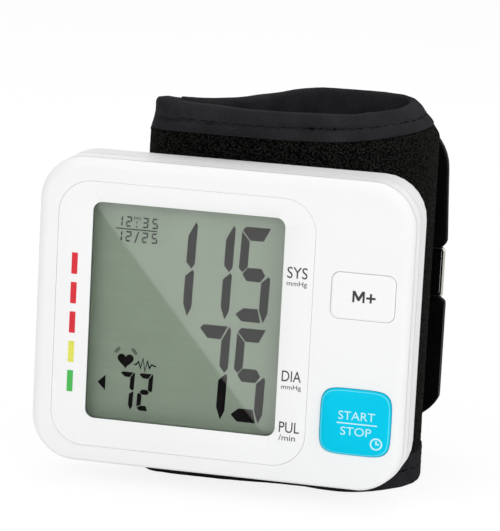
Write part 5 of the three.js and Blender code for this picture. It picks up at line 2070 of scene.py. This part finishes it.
    def build_loop(self) -> None:
        """Builds the webbing loop that holds the ring to the strap."""
        low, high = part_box("pull_ring")
        y = (low.y + high.y) / 2
        middle = (low.z + high.z) / 2
        room = 2 * self.ring_wire + self.loop_room
        half, reach, side = (high.z - low.z) / 2 - room, self.loop_reach, self.webbing / 2
        bend_x = high.x - room - reach - side
        root = self.strap_end - self.notch_depth - 1.5 * MM
        tongue = [[x, y - reach] for x in np.linspace(root, bend_x, 8)]
        tongue += arc_points(bend_x, y, reach, -90, 90, 16)[1:]
        tongue += [[x, y + reach] for x in np.linspace(bend_x, root, 8)][1:]
        curve = PlanCurve(tongue)

        def ring(along: float) -> Ring:
            """Gives the webbing's flat section."""
            corners = ((-1, -1), (1, -1), (1, 1), (-1, 1))
            return [(across * side, middle + up * half) for across, up in corners]

        loop = wrap_band("ring_loop", curve, self.loop_columns, ring, WEBBING)
        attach(loop, "strap")

    def dress(self) -> None:
        """Dresses the cuff's inner nodes and the hook patch."""
        for name, finish in (
            ("cuff_former", DARK_PLASTIC),
            ("cuff_bladder", RUBBER),
            ("cuff_nozzle", PALE_PLASTIC),
            ("hook_patch", HOOK_PLASTIC),
        ):
            dress_node(name, finish)

    def build(self) -> None:
        """Builds the whole cuff."""
        self.dress()
        self.build_cover()
        self.build_liner()
        for side in HemSide:
            self.build_hem(side)
            self.build_stitches(side)
        self.build_fold()
        self.build_strap()
        self.build_loop()
        self.build_ring()


@dataclass
class Insides:
    """Board, air system and cells behind the shells."""

    finishes: tuple[tuple[Finish, tuple[str, ...]], ...] = (
        (BOARD, ("main_board",)),
        (DARK_PLASTIC, ("controller_chip", "buzzer", "pressure_sensor", "pump_head")),
        (STEEL, ("pump_motor", "release_valve", "battery_spring", "battery_plate", "battery_bridge")),
        (PALE_PLASTIC, ("air_manifold",)),
        (TUBE, ("pump_tube", "sensor_tube", "valve_tube")),
        (CELL, ("battery_cell_left", "battery_cell_right")),
    )

    def dress(self) -> None:
        """Dresses each inner node."""
        for finish, names in self.finishes:
            for name in names:
                dress_node(name, finish)


@dataclass
class Lamp:
    """A square studio lamp that faces the object."""

    name: str
    place: Triple
    size: float
    power: float

    def build(self, target: Vector) -> None:
        """Adds the lamp.

        Args:
            target: The point that it faces.
        """
        light = bpy.data.lights.new(self.name, "AREA")
        light.shape = "SQUARE"
        light.size = self.size
        light.energy = self.power
        lamp = bpy.data.objects.new(self.name, light)
        lamp.location = self.place
        lamp.rotation_euler = (target - Vector(self.place)).to_track_quat("-Z", "Y").to_euler()
        bpy.context.scene.collection.objects.link(lamp)


@dataclass
class Studio:
    """Camera, lamps, world and floor."""

    eye: Triple = (0.1540, -0.69605, 0.1865)
    right: Triple = (0.97274, 0.22621, 0.05098)
    up: Triple = (-0.09232, 0.17615, 0.98003)
    back: Triple = (0.21271, -0.95802, 0.19223)
    focal_pixels: float = 3204.0
    ambient: float = 0.51
    floor_side: float = 6.0
    floor_colour: Colour = (0.95, 0.95, 0.95)
    floor_white: float = 1.06
    floor_share: float = 0.8
    flag_depth: float = -60 * MM
    flag_reach: float = 0.3
    glare_upper: Pair = (-21.8 * MM, 53.5 * MM)
    glare_lower: Pair = (2.8 * MM, 24.5 * MM)
    lens_front: float = 1.4 * MM
    target: Triple = (0.0, 0.0, 42 * MM)
    lamps: tuple[Lamp, ...] = (
        Lamp("key softbox", (-0.55, -1.35, 0.75), 0.9, 4.7),
        Lamp("low front fill", (0.1, -1.3, 0.1), 0.9, 2.2),
        Lamp("right fill", (1.1, -0.7, 0.5), 0.9, 4.0),
        Lamp("top strip", (0.1, 0.25, 1.3), 0.8, 4.5),
    )

    def build_camera(self) -> None:
        """Adds the camera at the photograph's viewpoint."""
        data = bpy.data.cameras.new("camera")
        data.sensor_width = SENSOR
        data.lens = self.focal_pixels * SENSOR / max(PICTURE_W, PICTURE_H)
        data.clip_start, data.clip_end = 0.05, 50.0
        camera = bpy.data.objects.new("camera", data)
        columns = Matrix((self.right, self.up, self.back)).transposed().to_4x4()
        camera.matrix_world = Matrix.Translation(self.eye) @ columns
        bpy.context.scene.collection.objects.link(camera)
        bpy.context.scene.camera = camera

    def seen_directly(self, tree: NodeTree) -> NodeSocket:
        """Tells rays from the camera, from mirrors and through glass from all others.

        Args:
            tree: The node tree.

        Returns:
            A value, 1 on such rays and else 0.
        """
        path = tree.nodes.new("ShaderNodeLightPath")
        total = path.outputs["Is Camera Ray"]
        for name in ("Is Glossy Ray", "Is Transmission Ray"):
            node = tree.nodes.new("ShaderNodeMath")
            node.operation = Operation.MAXIMUM.value
            tree.links.new(total, node.inputs[0])
            tree.links.new(path.outputs[name], node.inputs[1])
            total = node.outputs["Value"]
        return total

    def build_world(self) -> None:
        """Makes a white surround whose light on the object is soft."""
        world = bpy.data.worlds.new("studio")
        world.use_nodes = True
        bpy.context.scene.world = world
        tree = world.node_tree
        tree.nodes.clear()
        output = tree.nodes.new("ShaderNodeOutputWorld")
        mix = tree.nodes.new("ShaderNodeMixShader")
        for index, strength in ((1, self.ambient), (2, 1.0)):
            light = tree.nodes.new("ShaderNodeBackground")
            light.inputs["Strength"].default_value = strength
            light.inputs["Color"].default_value = (1.0, 1.0, 1.0, 1.0)
            tree.links.new(light.outputs["Background"], mix.inputs[index])
        tree.links.new(self.seen_directly(tree), mix.inputs["Fac"])
        tree.links.new(mix.outputs["Shader"], output.inputs["Surface"])

    def build_floor(self) -> None:
        """Lays a plain pale floor that keeps the object's shadow."""
        bm = bmesh.new()
        bmesh.ops.create_grid(bm, x_segments=1, y_segments=1, size=self.floor_side / 2)
        floor = link_piece("floor", bm)
        shading = Shading("floor_white")
        shading.surface.inputs["Roughness"].default_value = 0.9
        shading.surface.inputs["Specular IOR Level"].default_value = 0.0
        shading.surface.inputs["Base Color"].default_value = (*self.floor_colour, 1.0)
        glow = shading.add("ShaderNodeEmission", Strength=self.floor_white)
        share = shading.add("ShaderNodeMath")
        share.operation = Operation.MULTIPLY.value
        share.inputs[1].default_value = self.floor_share
        shading.link(self.seen_directly(shading.tree), share.inputs[0])
        mix = shading.add("ShaderNodeMixShader")
        shading.link(share.outputs["Value"], mix.inputs["Fac"])
        shading.link(shading.surface.outputs["BSDF"], mix.inputs[1])
        shading.link(glow.outputs["Emission"], mix.inputs[2])
        shading.link(mix.outputs["Shader"], shading.output.inputs["Surface"])
        floor.data.materials.append(shading.material)

    def build_flag(self) -> None:
        """Hangs a dark card before the object, whose edge the lens mirrors as a slanting border."""
        lens = behind_face(self.lens_front)
        eye = Vector((self.eye[0], 2 * lens - self.eye[1], self.eye[2]))
        corners = []
        for x, z in (self.glare_upper, self.glare_lower):
            point = Vector((x, lens, z))
            way = point - eye
            corners.append(point + way * (behind_face(self.flag_depth) - lens) / way.y)
        edge = (corners[1] - corners[0]).normalized()
        inward = Vector((edge.z, 0.0, -edge.x))
        if inward.x > 0:
            inward = -inward
        first, last = corners[0] - edge * self.flag_reach, corners[1] + edge * self.flag_reach
        bm = bmesh.new()
        places = (first, last, last + inward * self.flag_reach, first + inward * self.flag_reach)
        bm.faces.new([bm.verts.new(place) for place in places])
        flag = link_piece("flag", bm, DARK_PLASTIC)
        flag.visible_camera = flag.visible_diffuse = flag.visible_shadow = False
        flag.visible_volume_scatter = False

    def build(self) -> None:
        """Sets up the whole studio."""
        bpy.context.scene.view_settings.view_transform = "Standard"
        self.build_camera()
        self.build_world()
        self.build_floor()
        self.build_flag()
        for lamp in self.lamps:
            lamp.build(Vector(self.target))


def main() -> None:
    """Builds the studio and the monitor, and reports each piece."""
    logging.basicConfig(level=logging.INFO, format="%(name)s %(message)s")
    Studio().build()
    shells, buttons, display = Shells(), Buttons(), Display()
    shells.build_front(buttons.openings())
    shells.build_panel()
    shells.dress()
    display.dress()
    display.build_figures()
    display.build_prints()
    buttons.build()
    Insides().dress()
    Cuff().build()
    for piece in bpy.context.scene.objects:
        if piece.type == "MESH":
            finishes = ", ".join(finish.name for finish in piece.data.materials if finish)
            log.info("%s: %d faces in %s", piece.name, len(piece.data.polygons), finishes)


if __name__ == "__main__":
    main()
